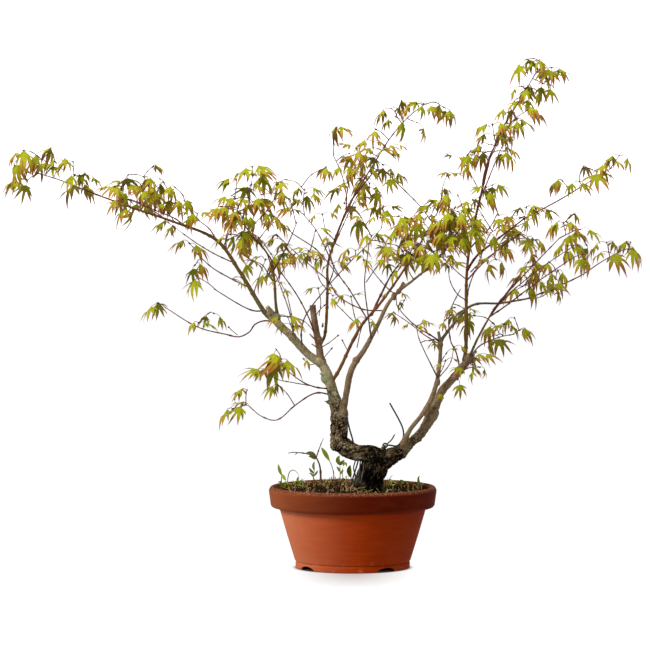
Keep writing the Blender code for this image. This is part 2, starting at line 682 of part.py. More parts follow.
def spray_sites(cluster, sprays, rng):
    """Well-spaced places for the ends of the twigs, above the lobes that hang from them."""
    middle = place(cluster.x, cluster.z, cluster.depth) + Vector((0, 0, HANG * cluster.lobe * MM))
    halves = (max(cluster.half_x - 0.6 * cluster.lobe, 3),
              max(cluster.half_depth * stretch(cluster.z) - 0.6 * cluster.lobe, 3),
              max(cluster.half_z - HANG * cluster.lobe, 3))
    sites = []
    for _ in range(sprays):
        best = None
        widest = -1.0
        for _ in range(TRIES):
            offset = random_direction(rng) * rng.uniform(0.35, 1.0) ** 0.5
            site = middle + Vector([o * h * MM for o, h in zip(offset, halves)])
            spacing = min([(site - other).length for other in sites] + [1.0])
            if spacing > widest:
                best = site
                widest = spacing
        sites.append(best)
    return sites


def stem_path(mass, carrier):
    """The path of a mass's stem, from just clear of the limb that carries it."""
    knots = [place(*knot) for knot in mass.route]
    knots[0] = leave_limb(knots, carrier)
    return smooth_path(knots, STEM_STEP)


def stem_tube(path):
    """The tapering three-sided stem along its path."""
    return tube(path, [width / 2 for width in taper(STEM_BASE, STEM_TIP, len(path))], 3)


def grow_mass(mass, path, taken):
    """The pieces of a mass: its stem first, then the twigs and leaves that fit in its space."""
    rng = random.Random(mass.seed)
    stem = stem_tube(path)
    pieces = [stem]
    own = Space()
    own.add(*stem)
    wood = list(path[1:])
    for cluster in mass.clusters:
        left = round(cluster.leaves * LEAF_SHARE)
        sites = []
        for _ in range(ROUNDS):
            sites += sorted(spray_sites(cluster, (left + 1) // 2, rng),
                            key=lambda site: min((site - point).length for point in wood))
        for site in sites:
            if left > 0:
                left -= grow_spray(site, left, cluster, wood, pieces, own, taken, rng)
    return pieces


def taper(start, end, count):
    """Widths that run evenly from start to end."""
    return [start + (end - start) * i / (count - 1) for i in range(count)]


def leave_limb(knots, carrier):
    """Where a stem starts, just clear of the limb that carries it."""
    vertices, faces = carrier
    tree = BVHTree.FromPolygons(vertices, faces)
    heading = (knots[1] - knots[0]).normalized()
    point = knots[0].copy()
    side = heading.orthogonal().normalized()
    other = heading.cross(side)
    for _ in range(200):
        corners = [point]
        for i in range(6):
            turn = math.pi * i / 3
            corners.append(point + (side * math.cos(turn) + other * math.sin(turn)) * STEM_BASE / 2)
        clear = True
        for corner in corners:
            near, normal, _, distance = tree.find_nearest(corner)
            if distance < GAP or (corner - near).dot(normal) < 0:
                clear = False
        if clear:
            return point
        point = point + heading * 0.1 * MM
    return point


def grow_spray(site, left, cluster, wood, pieces, own, taken, rng):
    """A twig to the site, whose end is a leaf, and the leaf opposite; returns the leaves grown."""
    start = min(wood, key=lambda point: (site - point).length + 0.3 * max(0, point.z - site.z))
    reach = site - start
    if reach.length < NEAR:
        path = [start]
        heading = (reach + Vector((0, 0, 1)) * NEAR).normalized()
    else:
        bow = Vector((0, 0, 1)) * reach.length * rng.uniform(0.02, 0.14)
        bow += random_direction(rng) * reach.length * 0.05
        path = [start, start + reach * 0.5 + bow, site]
        heading = (path[2] - path[1]).normalized()
    if not grow_leaf(path, heading, -1, cluster, pieces, own, taken, rng):
        return 0
    wood.extend(path[1:])
    fork = [path[-1] - heading * LEAF_SETBACK] if len(path) > 1 else [start]
    return 1 + (left > 1 and grow_leaf(fork, heading, 1, cluster, pieces, own, taken, rng))


def grow_leaf(path, heading, hand, cluster, pieces, own, taken, rng):
    """A leaf at the end of the path, turned until it is clear of everything else."""
    count = 3 if cluster.lobe * MM < SMALL_LEAF else 5
    for _ in range(TRIES):
        lobe = cluster.lobe * MM * rng.uniform(0.82, 1.08)
        side = heading.cross(Vector((0, 0, 1)))
        if side.length < 0.2:
            side = Vector((1, 0, 0))
        forward = heading * rng.uniform(0.2, 0.8) + side.normalized() * hand * rng.uniform(0.5, 1.0)
        forward += random_direction(rng) * 0.35
        forward.z = min(forward.z, 0.45) - rng.uniform(0.0, 0.3)
        forward.normalize()
        up = Vector((rng.uniform(-0.3, 0.3), rng.uniform(-0.6, 0.3), 1)).normalized()
        stalk = path + [path[-1] + forward * STALK * rng.uniform(0.8, 1.3)]
        widths = taper(TWIG_WIDTH if len(stalk) > 2 else STALK_WIDTH, STALK_WIDTH, len(stalk))
        vertices, faces = leaf(stalk, widths, forward, up, lobe, count, rng.uniform(*DROOP))
        star = 2 * count + 3
        if not all(inside(cluster, v, MARGIN) for v in vertices[:star]):
            continue
        crown = vertices[:star]
        crown_faces = [face for face in faces if max(face) < star]
        if own.is_free(crown, crown_faces, GAP) and taken.is_free(vertices, faces):
            own.add(crown, crown_faces)
            pieces.append((vertices, faces))
            return True
    return False


def fuse(name, pieces):
    """One closed body from a mass's stem, twigs and leaves, or None where joining fails."""
    for solver in ("EXACT", "MANIFOLD"):
        stem = new_object(name, *pieces[0], smooth=False)
        operands = [new_object("operand", *piece, smooth=False) for piece in pieces[1:]]
        mesh = apply_boolean(stem, "UNION", operands, solver)
        for operand in operands:
            remove(operand)
        keep_main_shell(mesh)
        if tidy_mesh(mesh):
            stem.data = mesh
            return stem
        remove(stem)
    return None


def make_masses(limbs):
    """Every mass, each grown clear of the limbs, of all other stems and of the masses before it."""
    solid = {name: shape_of(piece) for name, piece in limbs.items()}
    paths = {mass.name: stem_path(mass, solid[mass.parent]) for mass in MASSES}
    for number, mass in enumerate(MASSES):
        taken = Space()
        for shape in solid.values():
            taken.add(*shape)
        for later in MASSES[number + 1:]:
            taken.add(*stem_tube(paths[later.name]))
        pieces = grow_mass(mass, paths[mass.name], taken)
        piece = fuse(mass.name, pieces)
        while piece is None and len(pieces) > 2:
            pieces = pieces[:-2]
            piece = fuse(mass.name, pieces)
        paint(piece, (0.30, 0.38, 0.05), 0.6)
        solid[mass.name] = shape_of(piece)


def main():
    for piece in list(bpy.data.objects):
        bpy.data.objects.remove(piece)
    make_pot()
    make_soil()
    make_masses(make_limbs())


main()
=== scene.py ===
"""The finished look of the maple bonsai in its clay pot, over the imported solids.

Metres, +Z up, origin at the middle of the pot's underside. The front is seen from -Y.
The tables give places as x, z and depth in mm, as the front view shows them.
"""

import math
import random
from collections import namedtuple

import bmesh
import bpy
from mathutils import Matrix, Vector, noise
from mathutils.bvhtree import BVHTree
from mathutils.kdtree import KDTree


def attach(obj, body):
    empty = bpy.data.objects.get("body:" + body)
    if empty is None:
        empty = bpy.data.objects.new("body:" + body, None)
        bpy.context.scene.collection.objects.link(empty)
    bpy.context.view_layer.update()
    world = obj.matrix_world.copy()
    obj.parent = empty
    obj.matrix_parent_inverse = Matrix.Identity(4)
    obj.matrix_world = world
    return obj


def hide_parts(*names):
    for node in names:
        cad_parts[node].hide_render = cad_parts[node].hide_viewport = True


MM = 0.001
UP = Vector((0, 0, 1))
FULL_TURN = 2 * math.pi

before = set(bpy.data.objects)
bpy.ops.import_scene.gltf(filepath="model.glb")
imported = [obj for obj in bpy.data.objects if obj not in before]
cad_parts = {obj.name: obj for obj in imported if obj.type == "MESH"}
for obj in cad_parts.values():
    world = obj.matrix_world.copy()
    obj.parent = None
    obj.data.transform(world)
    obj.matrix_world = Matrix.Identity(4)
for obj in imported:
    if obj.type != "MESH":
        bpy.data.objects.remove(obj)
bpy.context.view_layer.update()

# Camera: the photograph's eye, the middle of its frame and the width it takes in
EYE = Vector((-33 * MM, -5.0, 550 * MM))
AIM = Vector((-33 * MM, 0, 289 * MM))
VIEW_WIDTH = 772.2 * MM
SENSOR = 36.0
# The faint shade on the floor before the pot, in metres
SHADE_WIDTH = 0.078
SHADE_START = 0.06
SHADE_DEPTH = 0.185
STUDIO_RADIUS = 13.5
FLOOR = 13

# Crown: above this height (mm) depths are stretched more and more, up to the full share
CROWN_LOW = 200
CROWN_RISE = 150
CROWN_STRETCH = 0.45

# Pot and soil, as the solids have them
RIM_RADIUS = 100 * MM
RIM_HEIGHT = 24 * MM
RIM_STEP = 10 * MM
POT_HEIGHT = 97 * MM
RIM_FOOT = POT_HEIGHT - RIM_HEIGHT
FOOT_RADIUS = 68 * MM
FOOT_HEIGHT = 8 * MM
WALL = 7 * MM
MOUTH = RIM_RADIUS - WALL
NOTCH_WIDTH = 27 * MM
NOTCH_HEIGHT = 5.2 * MM
NOTCH_DEPTH = 12 * MM
NOTCH_ANGLES = (-54, 36, 126, 216)
POT_SIDES = 192
SOIL_EDGE = 91 * MM
SOIL_TOP = 95 * MM
SOIL_HOLLOW = 6.5 * MM
SOIL_RINGS = 70
SOIL_SIDES = 200
SEAT_X = 18 * MM
CRUMBS = 560
STRAWS = 240
STRANDS = 60
DRY_BLADES = 80
# Routes of weeds that start below this height (mm) stand in the soil
GROUND = 103

# Wood: size of the skin's mesh, how often it is smoothed, how far it reaches into the soil, and
# the seed of its relief's vector noise, which would otherwise be taken from the clock
SKIN_MESH = 0.7 * MM
SKIN_SMOOTHING = 6
SKIN_FOOT = 12 * MM
SKIN_SEED = 1

# Foliage: widths and lengths of twigs, stalks and lobes
STEM_BASE = 1.9 * MM
STEM_TIP = 1.05 * MM
TWIG_BASE = 1.1 * MM
TWIG_TIP = 0.8 * MM
LONG_TWIG = 26 * MM
SHOOT_JOINTS = 14 * MM
SHOOT_REACH = 40
STALK_WIDTH = 0.75 * MM
STALK = 9 * MM
NEAR = 6 * MM
DROOP = (28, 70)
HANG = 0.4
SMALL_LEAF = 27
CLEARANCE = 0.4 * MM
LEAF_SIZE = (0.72, 1.10)
GROUP_SIZE = 21
GROUP_GROWTH = 1.4
MARGIN = 6 * MM
TRIES = 14
ROUNDS = 3

# A shoot's leaves belong to the crown's side on which it ends (mm)
LEFT_END = -75
RIGHT_START = 130

# A group of leaves: its middle, and its half width, half depth and lobe length in mm
Group = namedtuple("Group", "middle half depth lobe")

# Limbs: diameters (mm) at foot and tip, and route
LIMBS = {
    "trunk": (33, 31, ((20, 95, 0), (21, 106, 0), (24, 120, 0), (27, 139, 0))),
    "left_arm": (20, 23, ((28, 135, 0), (8, 137, 0), (-7, 142, 0), (-14, 152, 0))),
    "left_leader": (24, 12, ((-12, 146, 0), (-16, 160, 0), (-16, 172, 0), (-19, 194, 0),
        (-28, 224, 0), (-39, 248, 0))),
    "right_leader": (20, 9, ((28, 133, 0), (50, 136.5, 0), (75, 153, 0), (93, 182, 0),
        (106, 211, 0), (125, 234, 0), (143, 256, 0))),
    "centre_stub": (11, 8, ((-36, 241, 0), (-40, 262, 0), (-44, 285, 0), (-48, 313, 0))),
    "left_bough": (11.5, 9.5, ((-34, 240, 0), (-53, 253, 3), (-74, 277, 6), (-92, 295, 8))),
    "left_outer_bough": (6, 3, ((-89, 292, 8), (-103, 302, 9), (-134, 352, 10), (-162, 390, 6),
        (-211, 411, 0), (-264, 429, -8), (-288, 438, -12))),
    "knob_shoot": (4.6, 3.2, ((-87, 290, 8), (-91, 310, 6), (-93, 340, 2), (-95, 360, 0))),
    "centre_bough": (5.6, 3.2, ((-40, 264, 0), (-33, 278, 8), (-30, 331, 16), (-29, 364, 18),
        (-8, 424, 22), (6, 450, 22))),
    "branch_b": (11, 4, ((-19, 184, -2), (-10, 204, -10), (-3, 231, -16), (14, 259, -22),
        (43, 316, -36), (69, 340, -46), (92, 359, -56))),
    "branch_a": (6.5, 3.6, ((-27, 219, 0), (-17, 234, -5), (8, 285, -8), (32, 314, -14),
        (55, 346, -18), (72, 373, -20))),
    "branch_c": (9.5, 5.5, ((56, 141, -2), (68, 164, -11), (84, 185, -14), (98, 214, -14),
        (103.5, 246, -8), (104, 266, -6), (102, 283, -5))),
    "vertical_leader": (5.4, 3, ((133, 246, 0), (135, 275, 0), (135, 343, 2), (140, 389, 4),
        (163, 490, 8))),
    "bough_e": (4.8, 3, ((103, 268, -6), (118, 288, 5), (141, 312, 14), (176, 315, 26),
        (206, 320, 32))),
    "shoot_f": (4.4, 3.2, ((137, 247, 0), (146, 268, -12), (152, 280, -16), (166, 305, -22))),
    "upper_right_bough": (3.8, 2.8, ((135.5, 354, 2), (148, 372, 10), (164, 385, 16),
        (204, 416, 30))),
    "wire_right": (1.9, 1.9, ((40, 140, -4), (42, 151, -5), (50, 152, -1), (60, 160, 4),
        (60, 174, 2), (44, 196, -4))),
    "wire_left": (1.9, 1.9, ((2, 140, -4), (0, 152, -7), (-4, 166, -12), (-8, 184, -16))),
    "wire_low": (1.9, 1.9, ((8, 133, -10), (5, 122, -14), (0, 106, -16), (-3, 96.4, -17))),
}
# Old wood's skin: each limb's route again, with its width (mm) at every knot
SKIN = {
    "trunk": ((15.5, 83, 0, 38), (17, 95, 0, 36), (20, 106, 0, 33), (24.5, 116, 0, 33.5),
        (27, 124, 0, 31.5), (28, 131, 0, 27)),
    "left_arm": ((31, 131, 0, 22), (20, 136, -2, 20), (10, 136.5, -3, 20.5), (0, 138, -1, 20.5),
        (-8, 143, 0, 21), (-14, 149, 0, 20.5)),
    "left_leader": ((-14, 146, 0, 20.5), (-16, 155, 0, 20.5), (-16, 166, 0, 21), (-16, 178, 0, 21),
        (-17.5, 188, 0, 19), (-20.5, 198, 0, 15.5), (-24, 209, 0, 13.3), (-28, 224, 0, 12.6),
        (-33, 236, 0, 12), (-39, 248, 0, 10)),
    "right_leader": ((30, 131, 0, 20), (44, 133.5, 0, 19), (55, 136.5, 0, 18.3),
        (63, 143.5, 0, 14), (71, 150.5, 0, 11.4), (79, 157.5, 0, 11), (86.5, 168, 0, 12.2),
        (93, 180.5, 0, 13.6), (98.5, 194, 0, 11.4), (106, 210.5, 0, 10.3), (116.5, 222.5, 0, 9.4),
        (126, 234, 0, 9.4), (136, 246, 0, 9.8), (142.5, 255, 0, 7)),
    "centre_stub": ((-36, 241, 0, 10), (-38.5, 252, 0, 9.2), (-39.7, 262, 0, 8.6),
        (-43.3, 281, 0, 8), (-46.3, 300, 0, 7.6), (-47.8, 313, 0, 7.8)),
    "left_bough": ((-34, 241, 0, 10.6), (-53, 254, 3, 10), (-74, 277, 6, 9.4), (-86, 288, 7, 9.2),
        (-93, 296, 8, 9.6)),
    "branch_b": ((-14, 180, -2, 9.5), (-10.5, 192, -6, 9), (-8.5, 203, -9, 7.8),
        (-6.5, 214, -12, 7.8), (-4, 228, -15, 8.2), (1, 241, -18, 7.4), (14, 260, -22, 6.2),
        (30, 290, -29, 5.2), (43, 316, -36, 4.5), (58, 332, -42, 3.7), (70, 341, -46, 3.3),
        (92, 359, -56, 2.7)),
    "branch_c": ((56, 141, -2, 9), (61, 150, -7, 8), (65, 158.5, -10, 6.4),
        (70.5, 167.5, -11, 5.4), (79.5, 178.5, -12, 5.4), (87, 189, -12, 6.8),
        (93.5, 201, -13, 6.4), (98, 214, -13, 5.8), (101.5, 229, -11, 5.1), (103.4, 246, -8, 4.8),
        (104.2, 262, -6, 5), (103.2, 272, -5, 4.4), (101.5, 283, -5, 3.6)),
}
# The right wire's own bends, and the wires' loose ends below the arm
WIRE_RIGHT = (
    (41, 146, -12), (46, 145.5, -11), (52.5, 145, -9), (58.5, 151, -5), (60.5, 160, -2),
    (57.5, 171, -2), (44, 196, -4),
)
WIRE_ENDS = (
    ((49.8, 158.6, -10), (46, 152, -12), (41, 147.5, -13)),
    ((3, 127, -12), (1, 118, -15), (3.5, 108, -17), (1, 97, -18)),
    ((9, 127, -13), (8, 116, -17), (6, 104, -20), (7, 96, -21)),
    ((13, 126, -14), (12.5, 114, -18), (10, 103, -21), (10, 96, -22)),
)
WIRES = ("wire_right", "wire_left", "wire_low")
# How brown old wood is instead of grey-green
WARM = {"right_leader": 0.8, "branch_c": 0.85, "branch_b": 0.85, "centre_stub": 1.0,
        "left_bough": 0.35}
# Thin boughs: widths (mm) and redness at foot and tip
SLIM = {
    "left_outer_bough": (6.2, 2.0, 0.12, 0.62), "knob_shoot": (4.0, 2.8, 0.25, 0.45),
    "centre_bough": (4.0, 2.4, 0.40, 0.72), "branch_a": (4.6, 2.5, 0.42, 0.66),
    "vertical_leader": (4.8, 2.1, 0.22, 0.92), "bough_e": (4.2, 2.1, 0.0, 0.12),
    "shoot_f": (3.4, 2.1, 0.05, 0.55), "upper_right_bough": (3.0, 1.8, 0.92, 0.98),
}
# Foliage masses: name, side of the crown, seed, how bronze they are, the stem's route, and groups
# of leaves by their middle, number of leaves and lobe length (mm)
MASSES = (
    ("far_left_tip", "left", 901, 0.45, ((-288, 438, -12), (-312, 447, -15), (-347, 461, -18),
        (-376, 470, -20)),
     ((-331, 455, -13, 5, 31), (-362, 473, -15, 5, 31), (-391, 474, -27, 4, 31),
      (-389, 458, -13, 3, 31), (-320, 463, -14, 2, 31), (-346, 476, -28, 2, 31),
      (-377, 476, -2, 2, 31))),
    ("left_cloud_front", "left", 2, 0.5, ((-200, 407, 1), (-212, 416, -14), (-236, 426, -24),
        (-262, 438, -28)),
     ((-269, 438, -28, 8, 30), (-240, 454, -31, 5, 30), (-282, 438, -38, 2, 30),
      (-268, 419, -26, 2, 30))),
    ("left_cloud_back", "left", 3, 0.4, ((-222, 414, -1), (-236, 424, 14), (-256, 434, 24),
        (-272, 440, 28)),
     ((-222, 442, 38, 7, 30), (-248, 433, 24, 6, 30), (-245, 420, 36, 2, 30))),
    ("left_fork_spray", "left", 4, 0.35, ((-162, 390, 6), (-170, 403, 8), (-184, 414, 10)),
     ((-193, 420, 12, 3, 26), (-210, 431, 16, 2, 26), (-185, 420, 2, 3, 26))),
    ("left_lower_spray", "left", 5, 0.4, ((-124, 334, 10), (-150, 347, 16), (-168, 358, 22),
        (-185, 374, 26)),
     ((-191, 378, 26, 2, 28), (-186, 360, 24, 2, 28))),
    ("left_low_leaf", "left", 6, 0.35, ((-105, 306, 9), (-118, 306, 0), (-134, 313, -8),
        (-165, 332, -22)),
     ((-181, 333, -25, 2, 28),)),
    ("curly_shoot", "left", 7, 0.2, ((-88, 292, 8), (-105, 294, 14), (-116.5, 289.5, 17),
        (-122.5, 281, 19), (-135, 275, 22), (-149, 277.5, 26), (-184, 286.5, 30), (-223, 310, 34)),
     ((-235, 304, 34, 3, 33), (-177, 288, 31, 3, 24), (-163, 296, 28, 1, 24))),
    ("knob_left_spray", "left", 8, 0.4, ((-95, 358, 0), (-98, 369, -6), (-121, 398, -20),
        (-137, 424, -28), (-124, 448, -26)),
     ((-140, 402, -45, 6, 30), (-116, 464, -21, 5, 32), (-132, 382, -39, 5, 30),
      (-155, 427, -24, 2, 30), (-146, 387, -20, 2, 30))),
    ("upper_left_back", "left", 9, 0.35, ((-150, 375, 8), (-150, 395, 20), (-141, 414, 30),
        (-132, 440, 38)),
     ((-142, 434, 31, 6, 30), (-119, 430, 46, 4, 30))),
    ("knob_right_spray", "left", 10, 0.45, ((-95, 352, 0), (-87, 366, 8), (-74, 392, 16),
        (-66, 412, 22)),
     ((-74, 439, 22, 4, 28), (-102, 434, 26, 2, 28), (-104, 455, 19, 2, 28))),
    ("back_left_shoot", "left", 11, 0.35, ((-70, 273, 6), (-74, 300, 40), (-84, 330, 70),
        (-92, 350, 90)),
     ((-98, 353, 90, 5, 29), (-113, 378, 94, 2, 29), (-95, 388, 109, 2, 29),
      (-115, 353, 109, 2, 29), (-85, 359, 97, 2, 29))),
    ("middle_shoot", "centre", 12, 0.45, ((-60, 262, 4), (-61, 283, -8), (-55, 302, -16),
        (-33, 331, -20), (-8, 359, -24), (17, 384, -32), (34, 404, -40)),
     ((42, 416, -46, 6, 26), (-50, 380, -20, 4, 26), (0, 364, -23, 2, 24), (-55, 361, -19, 2, 26),
      (-10, 349, -25, 2, 24), (34, 418, -42, 2, 26), (-48, 384, -22, 1, 26))),
    ("crossing_left_shoot", "centre", 13, 0.4, ((17, 296, -10), (-4, 331, 14), (-20, 354, 34),
        (-43, 401, 42), (-60, 422, 46)),
     ((-57, 451, 48, 3, 28), (-76, 455, 51, 2, 28), (-58, 433, 50, 2, 28), (-33, 457, 49, 2, 28))),
    ("centre_top", "centre", 14, 0.35, ((6, 450, 22), (24, 479, 22), (45, 512, 20), (67, 537, 16),
        (84, 550, 14)),
     ((29, 476, 27, 4, 28), (28, 499, 21, 5, 28), (57, 531, 9, 3, 28), (79, 530, 7, 3, 28),
      (104, 546, 22, 3, 28), (42, 466, 16, 2, 28), (79, 544, 5, 2, 28), (48, 533, 24, 2, 28))),
    ("centre_left_spray", "centre", 15, 0.5, ((-8, 424, 22), (-8, 446, 36), (-14, 470, 46),
        (-23, 490, 50)),
     ((-5, 451, 37, 6, 28), (-3, 472, 48, 3, 28), (-9, 434, 41, 2, 28), (-22, 508, 50, 2, 30))),
    ("centre_front_spray", "centre", 16, 0.45, ((-12, 413, 21), (-3, 432, 6), (4, 450, -6),
        (14, 468, -14)),
     ((4, 490, -20, 4, 28), (18, 459, -17, 3, 28), (19, 441, -12, 2, 28))),
    ("centre_clump", "centre", 17, 0.45, ((-30, 335, 16), (-24, 350, 4), (-22, 360, -2)),
     ((-30, 366, -3, 4, 24),)),
    ("hanging_shoot", "centre", 18, 0.5, ((2, 442, 22), (16, 460, 34), (29, 473, 42),
        (41, 469, 47), (54, 456, 52), (80, 430, 60), (94, 411, 62)),
     ((96, 412, 61, 2, 18),)),
    ("front_shoot", "centre", 19, 0.35, ((22, 272, -25), (18, 302, -60), (14, 340, -86),
        (18, 376, -100)),
     ((21, 390, -103, 2, 28), (39, 382, -99, 2, 28), (5, 399, -101, 2, 28))),
    ("dense_front", "centre", 20, 0.3, ((92, 359, -56), (104, 372, -64), (118, 390, -74),
        (128, 405, -80)),
     ((118, 378, -80, 7, 30), (114, 408, -64, 7, 30), (135, 398, -83, 5, 30),
      (108, 424, -61, 4, 30), (83, 378, -66, 4, 30), (102, 372, -89, 3, 30),
      (135, 377, -78, 2, 30), (113, 391, -63, 2, 30), (128, 413, -92, 2, 30))),
    ("dense_back", "centre", 21, 0.35, ((72, 373, -20), (80, 386, -14), (90, 404, -4),
        (104, 430, 6)),
     ((95, 396, 4, 8, 30), (71, 392, -6, 7, 30), (54, 379, -10, 4, 26), (65, 355, -7, 3, 26),
      (43, 361, -8, 3, 26), (116, 458, 12, 2, 28), (80, 405, -13, 2, 30))),
    ("right_column_front", "right", 22, 0.55, ((147, 424, 5), (152, 446, -8), (158, 475, -18),
        (172, 505, -22)),
     ((170, 520, -25, 4, 30), (177, 494, -16, 4, 30), (142, 480, -16, 2, 30),
      (207, 539, -25, 2, 30))),
    ("right_column_back", "right", 23, 0.5, ((153, 448, 6), (156, 470, 22), (166, 498, 34),
        (184, 522, 40)),
     ((193, 536, 39, 6, 30), (159, 486, 37, 3, 30), (185, 522, 31, 2, 30))),
    ("right_top", "right", 224, 0.55, ((163, 490, 8), (179, 525, 8), (198, 556, 4), (219, 592, 0)),
     ((205, 568, 8, 3, 30), (231, 587, -6, 3, 30), (213, 588, -7, 4, 30), (226, 571, 9, 2, 30),
      (208, 564, -8, 2, 30), (222, 566, 0, 2, 30))),
    ("right_inner_front", "right", 25, 0.45, ((139, 380, 4), (150, 392, -12), (162, 404, -24),
        (172, 422, -30)),
     ((155, 395, -29, 3, 28), (171, 413, -30, 2, 28), (161, 429, -42, 2, 28))),
    ("right_inner_back", "right", 26, 0.4, ((135, 306, 1), (138, 334, 36), (150, 365, 66),
        (160, 392, 84)),
     ((175, 386, 81, 4, 29), (141, 426, 94, 3, 29), (186, 396, 91, 2, 29))),
    ("upper_right_spray", "right", 427, 0.6, ((204, 416, 30), (244, 437, 34), (282, 460, 34),
        (308, 476, 34)),
     ((269, 459, 27, 3, 30), (285, 465, 19, 2, 30), (315, 475, 42, 2, 30), (253, 450, 33, 2, 30),
      (304, 470, 28, 2, 30))),
    ("right_middle_spray", "right", 28, 0.5, ((135.5, 342, 2), (150, 358, -6), (164, 371, -12),
        (184, 388, -16), (204, 402, -18)),
     ((207, 416, -11, 4, 28), (203, 394, -19, 4, 28), (164, 354, -14, 3, 26))),
    ("low_far_right", "right", 729, 0.5, ((206, 320, 32), (239, 333, 36), (271, 348, 36),
        (295, 364, 34), (318, 377, 32)),
     ((238, 344, 23, 5, 28), (303, 374, 30, 4, 31), (327, 376, 35, 3, 31), (208, 329, 31, 2, 28),
      (207, 327, 20, 2, 28))),
    ("fan_high", "right", 30, 0.5, ((166, 305, -22), (176, 319, -28), (219, 365, -48),
        (245, 392, -58)),
     ((276, 387, -66, 5, 30), (256, 403, -56, 3, 30), (250, 402, -70, 2, 30))),
    ("fan_low", "right", 31, 0.5, ((163, 299, -20), (182, 312, -36), (223, 343, -62),
        (260, 368, -80)),
     ((253, 366, -80, 2, 30), (273, 356, -86, 2, 30))),
    ("fan_inner", "right", 32, 0.4, ((165, 302, -21), (176, 317, -12), (192, 338, -2),
        (205, 357, 4)),
     ((214, 357, 6, 4, 26),)),
    ("low_right_spray", "right", 33, 0.4, ((140, 252, 0), (152, 265, 14), (176, 275, 34),
        (192, 278, 46)),
     ((195, 276, 44, 3, 31), (167, 273, 46, 3, 31), (144, 277, 35, 2, 31), (180, 274, 30, 2, 31))),
    ("right_leader_spray", "right", 34, 0.65, ((132, 238, 0), (138, 238, -14), (146, 240, -24)),
     ((125, 223, -29, 1, 23.52), (139, 254, -26, 1, 23.52), (112, 214, -28, 1, 23.52),
      (140, 220, -31, 2, 23.52), (154, 240, -23, 2, 23.52))),
    ("branch_c_left", "centre", 35, 0.5, ((103, 270, -6), (94, 276, -14), (76, 287, -22),
        (60, 302, -28), (52, 313, -32)),
     ((44, 313, -32, 2, 16.56), (94, 289, -24, 2, 18), (68, 317, -28, 1, 16.56))),
    ("branch_c_low", "centre", 36, 0.55, ((101, 226, -13), (92, 244, -20), (86, 256, -24)),
     ((71, 266, -29, 2, 17.82), (86, 256, -26, 1, 17.82), (95, 257, -20, 1, 17.82))),
    ("low_left_upper", "left", 37, 0.2, ((-26, 213, 0), (-44, 215, -14), (-61, 222, -24),
        (-88, 243, -34)),
     ((-89, 234, -37, 5, 36),)),
    ("low_left_lower", "left", 38, 0.2, ((-23, 205, 0), (-44, 208, 8), (-69, 193, 16),
        (-90, 176, 22), (-108, 180, 26), (-122, 191, 30)),
     ((-130, 194, 32, 3, 29), (-141, 188, 30, 1, 29), (-82, 202, 18, 2, 24))),
    ("inner_right_twig", "centre", 39, 0.45, ((128, 232, 2), (123, 256, 14), (116, 271, 20),
        (115, 303, 26), (128, 332, 30)),
     ((132, 310, 31, 2, 25), (118, 298, 27, 2, 25))),
)
